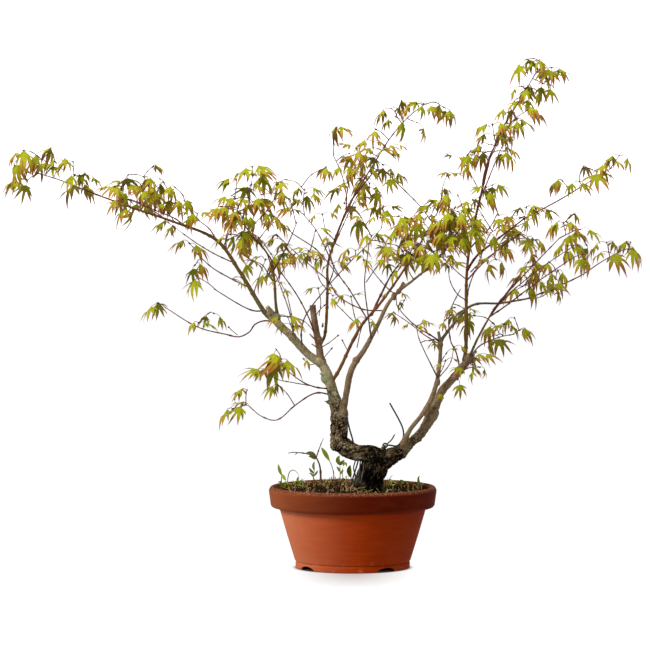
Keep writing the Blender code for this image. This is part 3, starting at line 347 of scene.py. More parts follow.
# Shoots off the limbs: width (mm) at the foot, leaves at the end, their lobe length and the route
SHOOTS = (
    (1.9, 4, 24, ((-144, 364, 9), (-165, 374, 18), (-188, 388, 22), (-218, 410, 24))),
    (1.7, 2, 22, ((-154, 380, 8), (-148, 396, 0), (-141, 411, -8))),
    (1.9, 4, 24, ((-94, 350, 1), (-104, 378, -2), (-121, 398, -6), (-103, 424, -10),
        (-87, 446, -12))),
    (1.6, 2, 22, ((-93, 338, 2), (-84, 352, -10), (-70, 372, -20))),
    (3.8, 3, 22, ((22, 300, -11), (31, 320, -6), (48, 352, 4), (75, 384, 12))),
    (1.7, 2, 22, ((52, 324, -39), (38, 336, -44), (14, 365, -52))),
    (1.9, 2, 18, ((100, 268, -6), (84, 278, 6), (69, 290, 12), (50, 303, 16))),
    (1.7, 2, 20, ((135, 343, 2), (124, 352, 12), (110, 366, 20))),
    (1.7, 2, 18, ((135, 318, 1), (124, 326, -10), (116, 340, -18), (113, 357, -24))),
    (1.5, 3, 24, ((166, 307, -21), (180, 324, -28), (196, 346, -36), (208, 363, -42))),
    (1.6, 4, 25, ((168, 309, -25), (190, 330, -22), (225, 358, -16), (250, 375, -12),
        (264, 384, -10))),
    (1.9, 3, 24, ((140, 352, 4), (148, 360, 14), (164, 372, 24), (196, 395, 34))),
    (1.7, 1, 18, ((-6, 258, -16), (7, 284, -30), (-6, 300, -38), (-24, 318, -44))),
    (1.5, 2, 28, ((-52, 217, -18), (-74, 221, -24), (-90, 224.5, -27), (-104, 234, -30))),
    (1.4, 2, 20, ((134, 243, -2), (142, 242, -12), (150, 239, -20))),
    (1.6, 0, 20, ((-46, 296, 0), (-40, 306, -8), (-34, 312, -12))),
    (1.5, 0, 20, ((-38, 262, 2), (-28, 268, -8), (-18, 276, -14))),
    (1.6, 2, 20, ((-30, 330, 15), (-40, 344, 30), (-44, 366, 40))),
    (1.6, 2, 22, ((-20, 388, 19), (-32, 402, 6), (-36, 420, -2))),
    (1.6, 2, 22, ((-118, 326, 10), (-112, 344, 24), (-104, 366, 36))),
    (1.6, 3, 24, ((137, 368, 3), (124, 384, -10), (118, 404, -16))),
    (1.5, 1, 18, ((104, 228, -12), (116, 244, -24), (120, 262, -30))),
    (1.6, 2, 20, ((8, 284, -8), (2, 300, 8), (-2, 322, 20))),
    (1.6, 2, 24, ((176, 315, 26), (190, 328, 40), (214, 342, 52))),
    (2.0, 4, 24, ((-46, 280, -4), (-52, 297, -10), (-66, 324, -16), (-87, 354, -20),
        (-105, 378, -24), (-126, 410, -28), (-135, 422, -30))),
    (2.0, 0, 20, ((-88, 300, 10), (-71, 298, 14), (-57, 293, 10), (-47, 282, 4))),
    (1.5, 3, 14, ((-72, 277, 0), (-70, 285, -6), (-78, 324, -14), (-85, 338, -18))),
    (1.7, 4, 23, ((-35, 370, 14), (-46, 381, 10), (-73, 399, 4), (-100, 424, 0))),
    (2.0, 4, 23, ((38, 306, -33), (11, 308, -24), (-18, 324, -14), (-28, 340, -8), (-46, 356, -2),
        (-70, 377, 4), (-89, 395, 8))),
    (1.2, 0, 20, ((129, 405, -2), (131, 418, 0), (128, 435, 2), (125, 442, 2))),
    (1.5, 3, 23, ((150, 448, 6), (143, 462, 0), (134, 478, -6), (128, 486, -8))),
    (1.4, 3, 23, ((149, 440, 5), (158, 452, 10), (165, 455, 14))),
    (1.4, 4, 14, ((112, 280, 0), (108, 292, -8), (116, 300, -14))),
    (1.2, 2, 14, ((104, 232, -12), (108, 240, -20), (110, 246, -24))),
    (1.4, 2, 27, ((5, 262, -20), (10, 284, -34), (16, 296, -40))),
    (1.1, 1, 17, ((-31, 322, 14), (-27, 327, 4), (-24, 324, -2))),
    (1.1, 1, 16, ((-132, 346, 10), (-140, 346, 0), (-142, 344, -4))),
    (1.1, 0, 20, ((-137, 277, 24), (-143, 282, 18), (-147, 286, 14))),
    (2.7, 3, 23, ((145, 416, 4), (150, 436, 10), (158, 455, 16), (165.5, 474, 18), (173, 492, 18),
        (180, 508, 16))),
    (2.2, 3, 23, ((-26, 376, 18), (-14, 402, 32), (-4, 424, 38), (4, 440, 36))),
    (1.5, 3, 25, ((-211, 411, 0), (-222, 426, 4), (-236, 442, 4))),
    (1.4, 3, 24, ((20, 476, 22), (30, 492, 10), (44, 500, 0))),
    (1.6, 2, 20, ((16, 340, -28), (24, 352, -40), (36, 370, -48))),
    (1.6, 3, 24, ((72, 343, -47), (66, 356, -58), (70, 372, -66))),
    (1.6, 3, 24, ((82, 350, -50), (94, 358, -36), (104, 370, -24))),
    (1.4, 3, 24, ((206, 320, 32), (222, 322, 20), (236, 330, 10))),
    (1.4, 2, 24, ((190, 404, 26), (206, 412, 40), (224, 424, 48))),
    (1.4, 3, 24, ((180, 392, 20), (196, 392, 8), (216, 390, 4))),
    (1.4, 4, 25, ((-68, 273, 2), (-72, 284, -10), (-77, 298, -18))),
    (1.1, 1, 16, ((103, 240, -9), (107, 249, -14), (111, 255, -18))),
    (1.3, 2, 17, ((-40, 300, 0), (-38, 316, -10), (-41, 332, -16))),
    (1.2, 1, 16, ((-44, 243, -5), (-52, 242, -10), (-58, 248, -14))),
    (1.3, 0, 15, ((-35, 249, -4), (-31, 254, -8), (-25.5, 260.5, -12))),
    (1.2, 0, 15, ((-5, 257, -7), (-8, 262, -10), (-12, 270, -14))),
)
# Lumps of the old wood: middle and half sizes in mm
LUMPS = (
    ((30, 130, 0), (17.5, 12.5, 13.5)), ((13, 136.5, -6), (13, 9.4, 8.5)),
    ((22, 134, -9), (6, 6.5, 6)), ((43, 131, -2), (12.5, 9.5, 10)), ((38, 126, -3), (10, 8.5, 10)),
    ((-15, 148, 0), (11.5, 10.5, 11)), ((-21, 145, -2), (6, 5.5, 7)),
    ((-17, 166, -2), (10.5, 9, 11)), ((-23, 168, 0), (4.2, 6, 5)), ((-21, 193, 2), (7, 8, 7.5)),
    ((-10.5, 183, -5), (5.5, 9, 6)), ((-28.5, 197, 0), (3, 3, 3)), ((-31, 226, 0), (7.2, 8, 6.8)),
    ((-38, 245, 0), (7, 7, 6.6)), ((-93, 298, 8), (7.6, 7, 6.6)), ((-98, 303, 6), (4.6, 4.6, 4.6)),
    ((-72, 275, 6), (5.4, 5.8, 5.4)), ((93, 181, 0), (8.2, 8, 8)), ((99, 184, 1), (3.6, 6, 5)),
    ((80, 152.5, 0), (2.6, 2.6, 2.6)), ((127, 235, 0), (5.6, 5.8, 5.6)),
    ((138.5, 249, 0), (7, 6.6, 6.4)), ((101, 221, -12), (3.3, 5, 3.3)),
    ((104, 266, -6), (3.6, 5, 3.6)), ((49, 323, -38.5), (3.4, 5.2, 3.6)),
    ((54.5, 329, -41), (3.2, 3.6, 3.4)), ((-40.5, 270, 0), (4.9, 7, 4.8)),
    ((4, 247, -18.5), (4.7, 4.4, 4.6)), ((7, 95, -8), (7, 8, 9)), ((27, 95, -8), (7, 7, 8)),
    ((18, 97, 10), (10, 8, 8)),
)
# Stubs of lost twigs: two ends and two diameters in mm
STUBS = (
    ((-93, 300, 6), (-102, 311, 2), 7, 5.5), ((-28, 197, -1), (-35, 198.5, -3), 2.4, 1.8),
    ((-36, 287, -3), (-35.5, 291, -9), 3, 2), ((36, 141, -8), (38, 145, -13), 6, 4),
    ((84, 165, -4), (82, 171, -11), 5, 3), ((141, 252, 0), (147, 258, 4), 4, 3),
    ((55, 329, -41), (60.5, 340, -43), 4.6, 3.6), ((-34, 228, -4), (-39.5, 231.5, -7), 3, 2),
    ((-43, 270, -3), (-51.5, 278.5, -7), 2.4, 1.8), ((-42, 262, -4), (-49, 266.5, -8), 2.4, 1.9),
)
# Where the bark is darkened to near black, in the fork and on the trunk, and where wood is cut:
# place and reach in mm
DARK = (
    ((18, 146, -3), 5), ((24, 141, -9), 5.5), ((29, 136, -12), 6.5), ((32, 144, -4), 5),
    ((33, 127, -12), 9), ((48, 123, -2), 6), ((15, 124, -6), 7),
)
CUTS = (
    ((-48, 314.5, 0), 3.4), ((-103, 312.5, 2), 4.6), ((23, 131, -17), 2.2),
)
# Colours, linear red, green and blue, from green through bronze to red
LEAF_COLOURS = (
    (0.205, 0.170, 0.002), (0.246, 0.250, 0.003), (0.290, 0.314, 0.004), (0.345, 0.355, 0.011),
    (0.355, 0.218, 0.012), (0.350, 0.132, 0.019), (0.390, 0.124, 0.037), (0.470, 0.200, 0.108),
    (0.270, 0.048, 0.018),
)
# Materials: name, then dark, middle and pale or red colours; for weeds, colour and roughness
TWIG_TONES = (
    ("twig_red", (0.090, 0.024, 0.019), (0.175, 0.052, 0.039), (0.210, 0.088, 0.056)),
    ("twig_grey", (0.125, 0.062, 0.056), (0.225, 0.140, 0.128), (0.160, 0.058, 0.052)),
    ("bud_red", (0.040, 0.006, 0.006), (0.100, 0.014, 0.010), (0.160, 0.030, 0.018)),
)
SEEDLING_BARK = ("seedling_bark", (0.06, 0.035, 0.02), (0.16, 0.09, 0.05), (0.20, 0.07, 0.04))
SOIL_TONE = ("soil_surface", (0.0025, 0.001, 0.0003), (0.015, 0.0055, 0.0015),
             (0.056, 0.025, 0.007))
CRUMB_TONES = (
    ("crumb_dark", (0.004, 0.002, 0.0007), (0.015, 0.007, 0.0025), (0.042, 0.022, 0.009)),
    ("crumb_brown", (0.016, 0.0065, 0.002), (0.045, 0.020, 0.0065), (0.100, 0.050, 0.019)),
    ("crumb_pale", (0.15, 0.10, 0.055), (0.26, 0.18, 0.10), (0.38, 0.29, 0.18)),
    ("dry_fibre", (0.36, 0.19, 0.070), (0.58, 0.34, 0.145), (0.80, 0.54, 0.270)),
    ("brown_fibre", (0.026, 0.012, 0.0035), (0.070, 0.034, 0.011), (0.140, 0.076, 0.030)),
)
WEED_TONES = (
    ("weed_green", (0.175, 0.235, 0.012), 0.5), ("weed_bright", (0.330, 0.430, 0.020), 0.5),
    ("weed_pale", (0.480, 0.500, 0.180), 0.5), ("weed_stem", (0.200, 0.140, 0.050), 0.6),
    ("weed_dry", (0.330, 0.200, 0.080), 0.7), ("weed_olive", (0.190, 0.185, 0.030), 0.6),
)
# Soft round studio lights: name, place, size and power
LAMPS = (("key", (-2.4, -1.6, 1.9), 1.1, 78), ("top", (0.1, -0.5, 2.8), 1.4, 40),
         ("rim", (2.4, 0.6, 1.2), 0.9, 3))
LAMP_AIM = Vector((0, 0, 0.25))
# Leaf: angles and relative lengths of its lobes, then widths of a lobe from its notch to its tip
LOBES = {
    5: ((-80, 0.60), (-40, 0.88), (0, 1.0), (40, 0.88), (80, 0.60)),
    7: ((-108, 0.44), (-70, 0.72), (-34, 0.92), (0, 1.0), (34, 0.92), (70, 0.72), (108, 0.44)),
}
OUTLINE = ((0.12, 0.97), (0.25, 1.0), (0.38, 0.88), (0.50, 0.74), (0.62, 0.53), (0.74, 0.36),
           (0.87, 0.18))
LOBE_WIDTH = 0.156
NOTCH = 0.36
# Rosettes in the pot: middle, number of leaves and their length in mm
ROSETTES = (
    (-72, 101, -24, 5, 6), (-30, 103, -48, 5, 6), (66, 101, -12, 5, 5), (-58, 103, 30, 4, 6),
    (20, 103, 52, 4, 6), (52, 102, 38, 5, 6), (-20, 104, 62, 4, 6), (-76, 101, -36, 5, 5),
    (72, 100, -50, 4, 4), (-14, 100, -66, 4, 4), (48, 100, -62, 4, 4), (-68, 104, 14, 4, 6),
    (82, 101, -12, 4, 4),
)
# Single stalks and leaves: width, tone and route
BLADES = (
    (1.5, 0, ((-85, 95, -14), (-85, 104, -14), (-84.9, 111, -14))),
    (4.0, 1, ((-84.9, 110, -14), (-87.5, 117, -15), (-88.8, 123.5, -15))),
    (4.2, 1, ((-84.9, 111.5, -14), (-82, 107, -16), (-79.3, 103, -17))),
    (3.4, 0, ((-83, 99, -16), (-86.5, 102, -18), (-89.5, 101, -20))),
    (3.4, 1, ((-83, 99, -16), (-80, 101.5, -19), (-76.5, 100, -21))),
    (1.2, 3, ((-78, 96, 2), (-76, 112, 2), (-70, 116, 0), (-62, 107, -1))),
    (3.6, 0, ((-66, 97, -10), (-66, 103, -11), (-64.5, 109, -12))),
    (3.0, 1, ((-66, 100, -10), (-62, 103.5, -12), (-59.5, 105, -13))),
    (1.1, 2, ((-62.7, 93, -20), (-60, 100, -21), (-57.3, 107, -22))),
    (1.0, 2, ((-60, 93, -24), (-59.5, 100, -25), (-60.5, 108, -26))),
    (1.1, 2, ((-55, 93, -30), (-54, 100, -31), (-54.5, 106, -32))),
    (1.2, 0, ((-47, 94, -36), (-46.5, 110, -37), (-45, 120, -38))),
    (3.2, 1, ((-46, 116, -38), (-47, 121, -39), (-45.5, 127, -40))),
    (3.2, 0, ((-46, 112, -38), (-50, 115.5, -39), (-52, 119, -40))),
    (2.8, 1, ((-46, 107, -38), (-49.5, 111.5, -39), (-52.5, 112.5, -40))),
    (2.6, 0, ((-46, 109, -38), (-43, 113, -39), (-41.5, 116, -40))),
    (1.2, 2, ((-15.2, 96, -34), (-15, 112, -34), (-15.2, 126, -34))),
    (5.4, 1, ((-15.2, 122, -34), (-18, 128, -35), (-15.5, 134, -36))),
    (4.2, 0, ((-15.2, 122, -34), (-12, 126, -36), (-9.5, 128.5, -37))),
    (3.2, 2, ((-15.2, 114, -34), (-17.5, 118, -35), (-19.5, 120.5, -36))),
    (3.0, 1, ((-15.2, 111, -34), (-12.8, 114, -35), (-11.5, 117.5, -36))),
    (1.0, 3, ((-10, 97, -30), (-12.4, 113, -30), (-11, 122, -30))),
    (3.0, 1, ((-11.4, 121, -30), (-9, 124.5, -31), (-7, 120, -32))),
    (1.2, 0, ((-2, 96, -38), (-1.5, 103, -38), (-2.6, 110, -38))),
    (6.2, 0, ((-2.4, 108, -38), (-4.6, 115, -39), (-3, 122.5, -40))),
    (3.8, 1, ((3, 96, -40), (2.5, 102, -40), (4, 109, -41))),
    (2.2, 1, ((5, 92, -72), (3, 96, -73), (3.5, 100, -74))),
    (2.4, 0, ((5, 92, -72), (7, 95, -74), (9.5, 94.5, -75))),
    (2.4, 1, ((28, 91, -74), (27, 94.5, -75), (28, 98, -76))),
    (2.2, 0, ((28, 91, -74), (30.5, 93.5, -75), (32.5, 93, -76))),
    (1.0, 2, ((41, 94, -20), (40.8, 101, -21), (41.8, 108, -22))),
    (1.0, 2, ((38.5, 94, -24), (38.2, 100, -25), (37.5, 105, -26))),
    (3.6, 1, ((41.3, 100, -21), (44, 104, -22), (48, 103, -23))),
    (0.9, 2, ((42, 95, -24), (44, 106, -25), (49, 111.5, -26))),
    (1.2, 3, ((58, 93, -50), (57.6, 97, -50), (57, 99, -50))),
    (5.4, 0, ((55.5, 98, -50), (58, 102.5, -51), (61.5, 100, -52))),
    (0.9, 3, ((79.8, 95, -30), (80, 101, -30), (79.8, 104, -30))),
    (3.0, 1, ((79, 102.5, -30), (78, 106.5, -31), (80, 109.5, -32))),
)
# Seedlings: width at the foot and at the tip, and route; a leaf has its whole width and no tip
SEEDLINGS = (
    (2.6, 1.8, ((-38.4, 100, -40), (-38.2, 112, -40), (-39.5, 122, -40), (-43.3, 131.4, -40))),
    (1.6, 1.0, ((-43.3, 131.4, -40), (-55.2, 135.7, -42), (-70.8, 137.3, -46), (-77, 136.2, -47))),
    (1.6, 0.7, ((-43.3, 131.4, -40), (-39.5, 142.7, -38), (-34.7, 154.5, -36))),
    (1.4, 0.9, ((-66, 136.8, -45), (-68.5, 134.6, -46))),
    (5.6, 0, ((-43, 130, -40), (-49, 135.5, -42), (-56, 136.5, -44))),
    (4.0, 0, ((-44, 129, -41), (-49, 132, -43), (-53, 132.5, -44))),
    (1.3, 0.9, ((-22.6, 100, -44), (-22.8, 112.5, -44), (-25, 121, -42), (-28.2, 128.5, -41))),
    (5.4, 0, ((-28, 127.5, -41), (-32.5, 135, -41), (-37.6, 143.5, -41))),
)


def clamp(value, low=0, high=1):
    """The value, kept between low and high."""
    return min(max(value, low), high)


def stretch(z):
    """How much deeper than its table value anything at this height (mm) lies or is."""
    return 1 + CROWN_STRETCH * clamp((z - CROWN_LOW) / CROWN_RISE)


def place(x, z, depth):
    """The point that the front view shows at x, z (mm), moved along the sight line to its depth."""
    seen = Vector((x * MM, 0, z * MM))
    reach = (depth * stretch(z) * MM - EYE.y) / -EYE.y
    return EYE + (seen - EYE) * reach


def smooth_path(knots, step):
    """Points every step or so along a smooth curve through the knots."""
    ends = [knots[0] * 2 - knots[1]] + list(knots) + [knots[-1] * 2 - knots[-2]]
    path = []
    for before, start, end, after in zip(ends, ends[1:], ends[2:], ends[3:]):
        span = (end - start).length
        leave = (end - before).normalized() * span
        arrive = (after - start).normalized() * span
        pieces = max(1, round(span / step))
        for i in range(pieces):
            t = i / pieces
            path.append(start * (2 * t**3 - 3 * t**2 + 1) + leave * (t**3 - 2 * t**2 + t)
                        + end * (3 * t**2 - 2 * t**3) + arrive * (t**3 - t**2))
    path.append(knots[-1].copy())
    return path


def route_path(route, step):
    """A smooth path along a table's route, with points every step (mm) or so."""
    return smooth_path([place(*knot[:3]) for knot in route], step * MM)


def steps(path):
    """The lengths between the path's points."""
    return [(b - a).length for a, b in zip(path, path[1:])]


def directions(path):
    """The direction of the path at each of its points."""
    spans = [(b - a).normalized() for a, b in zip(path, path[1:])]
    return [(a + b).normalized() for a, b in zip([spans[0]] + spans, spans + [spans[-1]])]


def taper(start, end, count):
    """Widths that run evenly from start to end."""
    return [start + (end - start) * i / (count - 1) for i in range(count)]


def random_direction(rng):
    """A direction drawn evenly from the whole sphere."""
    height = rng.uniform(-1, 1)
    turn = rng.uniform(0, FULL_TURN)
    flat = math.sqrt(1 - height * height)
    return Vector((flat * math.cos(turn), flat * math.sin(turn), height))


class Batch:
    """Vertices, faces and material numbers that become one joined mesh."""

    def __init__(self):
        self.vertices = []
        self.faces = []
        self.tones = []

    def add(self, vertices, faces, tone=0):
        start = len(self.vertices)
        self.vertices += vertices
        self.faces += [tuple(i + start for i in face) for face in faces]
        self.tones += tone if isinstance(tone, list) else [tone] * len(faces)

    def make(self, name, materials=(), smooth=True):
        mesh = bpy.data.meshes.new(name)
        mesh.from_pydata([tuple(v) for v in self.vertices], [], self.faces)
        for material in materials:
            mesh.materials.append(material)
        mesh.polygons.foreach_set("material_index", self.tones)
        if smooth:
            mesh.shade_smooth()
        mesh.update()
        return link(name, mesh)


def link(name, data):
    """A new object in the scene."""
    holder = bpy.data.objects.new(name, data)
    bpy.context.scene.collection.objects.link(holder)
    return holder


def bake_modifiers(piece):
    """The piece's mesh with its modifiers worked in."""
    mesh = bpy.data.meshes.new_from_object(
        piece.evaluated_get(bpy.context.evaluated_depsgraph_get()))
    piece.modifiers.clear()
    piece.data = mesh
    return mesh


def ring_faces(rings, sides, start=0):
    """Four-sided faces between rings of vertices that follow each other."""
    faces = []
    for ring in range(rings - 1):
        for i in range(sides):
            a = start + ring * sides + i
            b = start + ring * sides + (i + 1) % sides
            faces.append((a, b, b + sides, a + sides))
    return faces


def ball(subdivisions):
    """Vertices and faces of a round ball with a radius of 1."""
    made = bmesh.new()
    bmesh.ops.create_icosphere(made, subdivisions=subdivisions, radius=1.0)
    vertices = [v.co.copy() for v in made.verts]
    faces = [tuple(v.index for v in face.verts) for face in made.faces]
    made.free()
    return vertices, faces


def scaled(spot, x, y, z):
    """The spot, stretched along each axis."""
    return Vector((spot.x * x, spot.y * y, spot.z * z))


def tube(path, radii, sides, bumpy=0.0, seed=0):
    """A closed round tube, with knobbly rings where bumpy is above 0."""
    if not isinstance(radii, list):
        radii = [radii] * len(path)
    vertices = []
    side = None
    for point, direction, radius in zip(path, directions(path), radii):
        if side is None:
            side = direction.orthogonal().normalized()
        side = (side - direction * side.dot(direction)).normalized()
        other = direction.cross(side)
        for i in range(sides):
            turn = FULL_TURN * i / sides
            offset = side * math.cos(turn) + other * math.sin(turn)
            spot = point + offset * radius
            if bumpy:
                spot += offset * radius * bumpy * noise.noise(spot * 260 + Vector((seed, 0, 0)))
            vertices.append(spot)
    last = len(vertices) - sides
    caps = [tuple(reversed(range(sides))), tuple(range(last, last + sides))]
    return vertices, ring_faces(len(path), sides) + caps


def twig(batch, path, base, tip, sides, nodes=(), tone=0, seed=0):
    """A round twig along the path, swollen where it carries leaves or buds."""
    lengths = [0.0]
    for step in steps(path):
        lengths.append(lengths[-1] + step)
    radii = []
    for length in lengths:
        radius = (base + (tip - base) * length / lengths[-1]) / 2
        swell = sum(math.exp(-((length - node) / (1.1 * MM)) ** 2) for node in nodes)
        radii.append(radius * (1 + 0.6 * min(swell, 1)))
    batch.add(*tube(path, radii, sides, 0.12, seed), tone)


def bud(batch, spot, heading, size, tone=2):
    """A small pointed bud, or the thick joint where leaves part."""
    path = [spot - heading * size * 0.3, spot, spot + heading * size * 0.4, spot + heading * size]
    batch.add(*tube(path, [size * w for w in (0.12, 0.32, 0.28, 0.05)], 6), tone)


def leaf_mesh(middle, forward, up, lobe, count, droop, rng, tint):
    """Vertices, faces and tones of a leaf whose lobes arch down from its middle."""
    side = up.cross(forward).normalized()
    normal = forward.cross(side)
    spread = rng.uniform(0.82, 1.1)
    base_tone = rng.uniform(1.0, 3.3)

    def spot(angle, reach, offset, bend, fold):
        """A point on the blade, by its angle, distance from the middle and side offset."""
        turn = math.radians(angle * spread)
        flat = forward * math.cos(turn) + side * math.sin(turn)
        across = side * math.cos(turn) - forward * math.sin(turn)
        tilt = math.radians(droop + bend) * (0.68 + 0.42 * (reach / lobe))
        return (middle + flat * reach * math.cos(tilt) + across * offset
                - normal * (reach * math.sin(tilt) - abs(offset) * fold))

    def tone(t, edge):
        """The colour number: green near the middle, bronze towards margins and tips."""
        change = (0.45 + 0.75 * tint) * t**0.95 + 0.32 * edge * (0.4 + tint)
        change += rng.uniform(-0.08, 0.08)
        number = round(base_tone + (7.0 - base_tone) * change)
        return clamp(number, 0, len(LEAF_COLOURS) - 1)

    rows = [(angle + rng.uniform(-5, 5), share * rng.uniform(0.9, 1.08))
            for angle, share in LOBES[count]]
    bends = [rng.uniform(-12, 12) for _ in rows]
    folds = [rng.uniform(0.1, 0.6) for _ in rows]
    twists = [rng.uniform(-0.12, 0.12) for _ in rows]
    vertices = [middle]
    faces = []
    tones = []
    # The notches between lobes, and the two ends of the blade beside the stalk
    for k in range(len(rows) + 1):
        if k in (0, len(rows)):
            edge = max(k - 1, 0)
            turn = rows[edge][0] + (24 if k else -24)
            vertices.append(spot(turn, lobe * NOTCH * 0.5, 0, bends[edge], 0))
        else:
            reach = lobe * NOTCH * min(rows[k - 1][1], rows[k][1]) ** 0.5
            vertices.append(spot((rows[k - 1][0] + rows[k][0]) / 2, reach, 0,
                                 (bends[k - 1] + bends[k]) / 2, 0))
    for k, (angle, share) in enumerate(rows):
        width = LOBE_WIDTH * lobe * (0.55 + 0.45 * share) * rng.uniform(0.85, 1.15)
        foot = lobe * NOTCH * share**0.5
        length = lobe * share
        left, right = vertices[k + 1], vertices[k + 2]
        centre = spot(angle, foot, 0, bends[k], folds[k])
        new = len(vertices)
        ring = [k + 1, new, new + 1, new + 2, k + 2]
        vertices += [left.lerp(centre, 0.5), centre, right.lerp(centre, 0.5)]
        faces += [(0, a, b) for a, b in zip(ring, ring[1:])]
        tones += [tone(0.05, 0)] * 4
        for t, wide in OUTLINE:
            reach = foot + (length - foot) * t
            shift = side * (twists[k] * length * t**2)
            new = len(vertices)
            for across in (-1, -0.55, 0, 0.55, 1):
                vertices.append(spot(angle, reach, width / 2 * wide * across, bends[k], folds[k])
                                + shift)
            fresh = [new + i for i in range(5)]
            for i in range(4):
                faces.append((ring[i], fresh[i], fresh[i + 1], ring[i + 1]))
                tones.append(tone(t * share, i in (0, 3)))
            ring = fresh
        tip = len(vertices)
        vertices.append(spot(angle, length, 0, bends[k], folds[k]) + side * twists[k] * length)
        faces += [(a, tip, b) for a, b in zip(ring, ring[1:])]
        tones += [tone(1.0, 1)] * 4
    return vertices, faces, tones


def star(neck, forward, up, lobe, droop):
    """A plain five-pointed stand-in for a leaf, for testing what it would touch."""
    side = up.cross(forward).normalized()
    normal = forward.cross(side)
    lean = math.radians(droop)
    vertices = [neck]
    for k in range(-2, 3):
        turn = math.radians(38 * k)
        flat = forward * math.cos(turn) + side * math.sin(turn)
        reach = lobe * (1 - 0.16 * abs(k) ** 1.5)
        vertices.append(neck + (flat * math.cos(lean) - normal * math.sin(lean)) * reach)
        if k < 2:
            turn += math.radians(19)
            flat = forward * math.cos(turn) + side * math.sin(turn)
            vertices.append(neck + flat * lobe * 0.26 - normal * lobe * 0.12)
    return vertices, [(0, i, i + 1) for i in range(1, len(vertices) - 1)]


class Space(Batch):
    """What is already there, so that a new twig or leaf can be kept clear of it."""

    tree = None

    def add(self, vertices, faces):
        super().add(vertices, faces)
        self.tree = None

    def is_free(self, vertices, faces, clearance=CLEARANCE):
        if not self.faces:
            return True
        if self.tree is None:
            self.tree = BVHTree.FromPolygons(self.vertices, self.faces)
        if self.tree.overlap(BVHTree.FromPolygons(vertices, faces)):
            return False
        return all(self.tree.find_nearest(v, clearance)[0] is None for v in vertices)


class Crown:
    """One part of the crown: a mesh of each kind, and what its leaves keep clear of."""

    def __init__(self, limbs, grown):
        self.leaves = Batch()
        self.stalks = Batch()
        self.twigs = Batch()
        self.masses = []
        self.limbs = limbs
        self.grown = grown


def inside(group, point, margin):
    """True where a point lies in the group's rounded box, grown by the margin."""
    offset = point - group.middle
    halves = (group.half, group.depth, group.half)
    return sum((abs(o) / (half * MM + margin)) ** 4 for o, half in zip(offset, halves)) <= 1


def spray_sites(group, sprays, rng):
    """Well-spaced places for the ends of the twigs, above the lobes that hang from them."""
    middle = group.middle + Vector((0, 0, HANG * group.lobe * MM))
    halves = (max(group.half - 0.6 * group.lobe, 3), max(group.depth - 0.6 * group.lobe, 3),
              max(group.half - HANG * group.lobe, 3))
    sites = []
    for _ in range(sprays):
        best = None
        widest = -1.0
        for _ in range(TRIES):
            offset = random_direction(rng) * rng.uniform(0.35, 1.0) ** 0.5
            site = middle + Vector([o * h * MM for o, h in zip(offset, halves)])
            spacing = min([(site - other).length for other in sites] + [1.0])
            if spacing > widest:
                best = site
                widest = spacing
        sites.append(best)
    return sites


def grow_mass(crown, name, seed, tint, route, groups):
    """A mass by the solids' rule: a stem, twigs to well-spaced sites, and leaves in pairs."""
    rng = random.Random(seed)
    path = route_path(route, 4)
    spacing = rng.uniform(15, 22) * MM
    nodes = [spacing * (k + 1) for k in range(int(sum(steps(path)) / spacing))]
    twig(crown.twigs, path, STEM_BASE, STEM_TIP, 8, nodes, rng.choice((0, 0, 1)), seed)
    crown.masses.append(name)
    wood = path[2::2]
    for x, z, depth, left, lobe in groups:
        half = GROUP_SIZE + GROUP_GROWTH * left
        group = Group(place(x, z, depth), half, half, lobe)
        sites = []
        for _ in range(ROUNDS):
            sites += sorted(spray_sites(group, (left + 1) // 2, rng),
                            key=lambda site: min((site - point).length for point in wood))
        for site in sites:
            if left > 0:
                left -= grow_spray(crown, site, left, group, wood, rng, tint)


def grow_spray(crown, site, left, group, wood, rng, tint):
    """A twig to the site with a pair of leaves at its end, and a lower pair where it is long."""
    start = min(wood, key=lambda point: (site - point).length + 0.3 * max(0, point.z - site.z))
    reach = site - start
    shade = tint + rng.uniform(-0.16, 0.16)
    if reach.length < NEAR:
        heading = (reach + UP * NEAR).normalized()
        path = [start, start + heading * 2 * MM]
    else:
        bow = UP * reach.length * rng.uniform(0.02, 0.14)
        bow += random_direction(rng) * reach.length * 0.06
        path = smooth_path([start, start + reach * 0.5 + bow, site], 2.5 * MM)
        heading = (path[-1] - path[-3]).normalized()
    fitted = 0
    for hand in (-1, 1, 1, -1)[:min(left, 2 + (rng.random() < 0.25))]:
        fitted += grow_leaf(crown, path[-1], heading, hand, group, rng, shade)
    if not fitted:
        return 0
    middle = path[len(path) // 2]
    is_long = reach.length > LONG_TWIG
    if is_long and left > fitted:
        for hand in (-1, 1)[:left - fitted]:
            fitted += grow_leaf(crown, middle, heading, hand, group, rng, shade)
    total = sum(steps(path))
    twig(crown.twigs, path, TWIG_BASE + 0.01 * total, TWIG_TIP, 6, (total * 0.5, total),
         rng.choice((0, 0, 1)))
    bud(crown.twigs, path[-1], heading, rng.uniform(2.4, 3.6) * MM)
    if is_long:
        bud(crown.twigs, middle, heading, 2.4 * MM)
    wood.extend(path[2:])
    return fitted


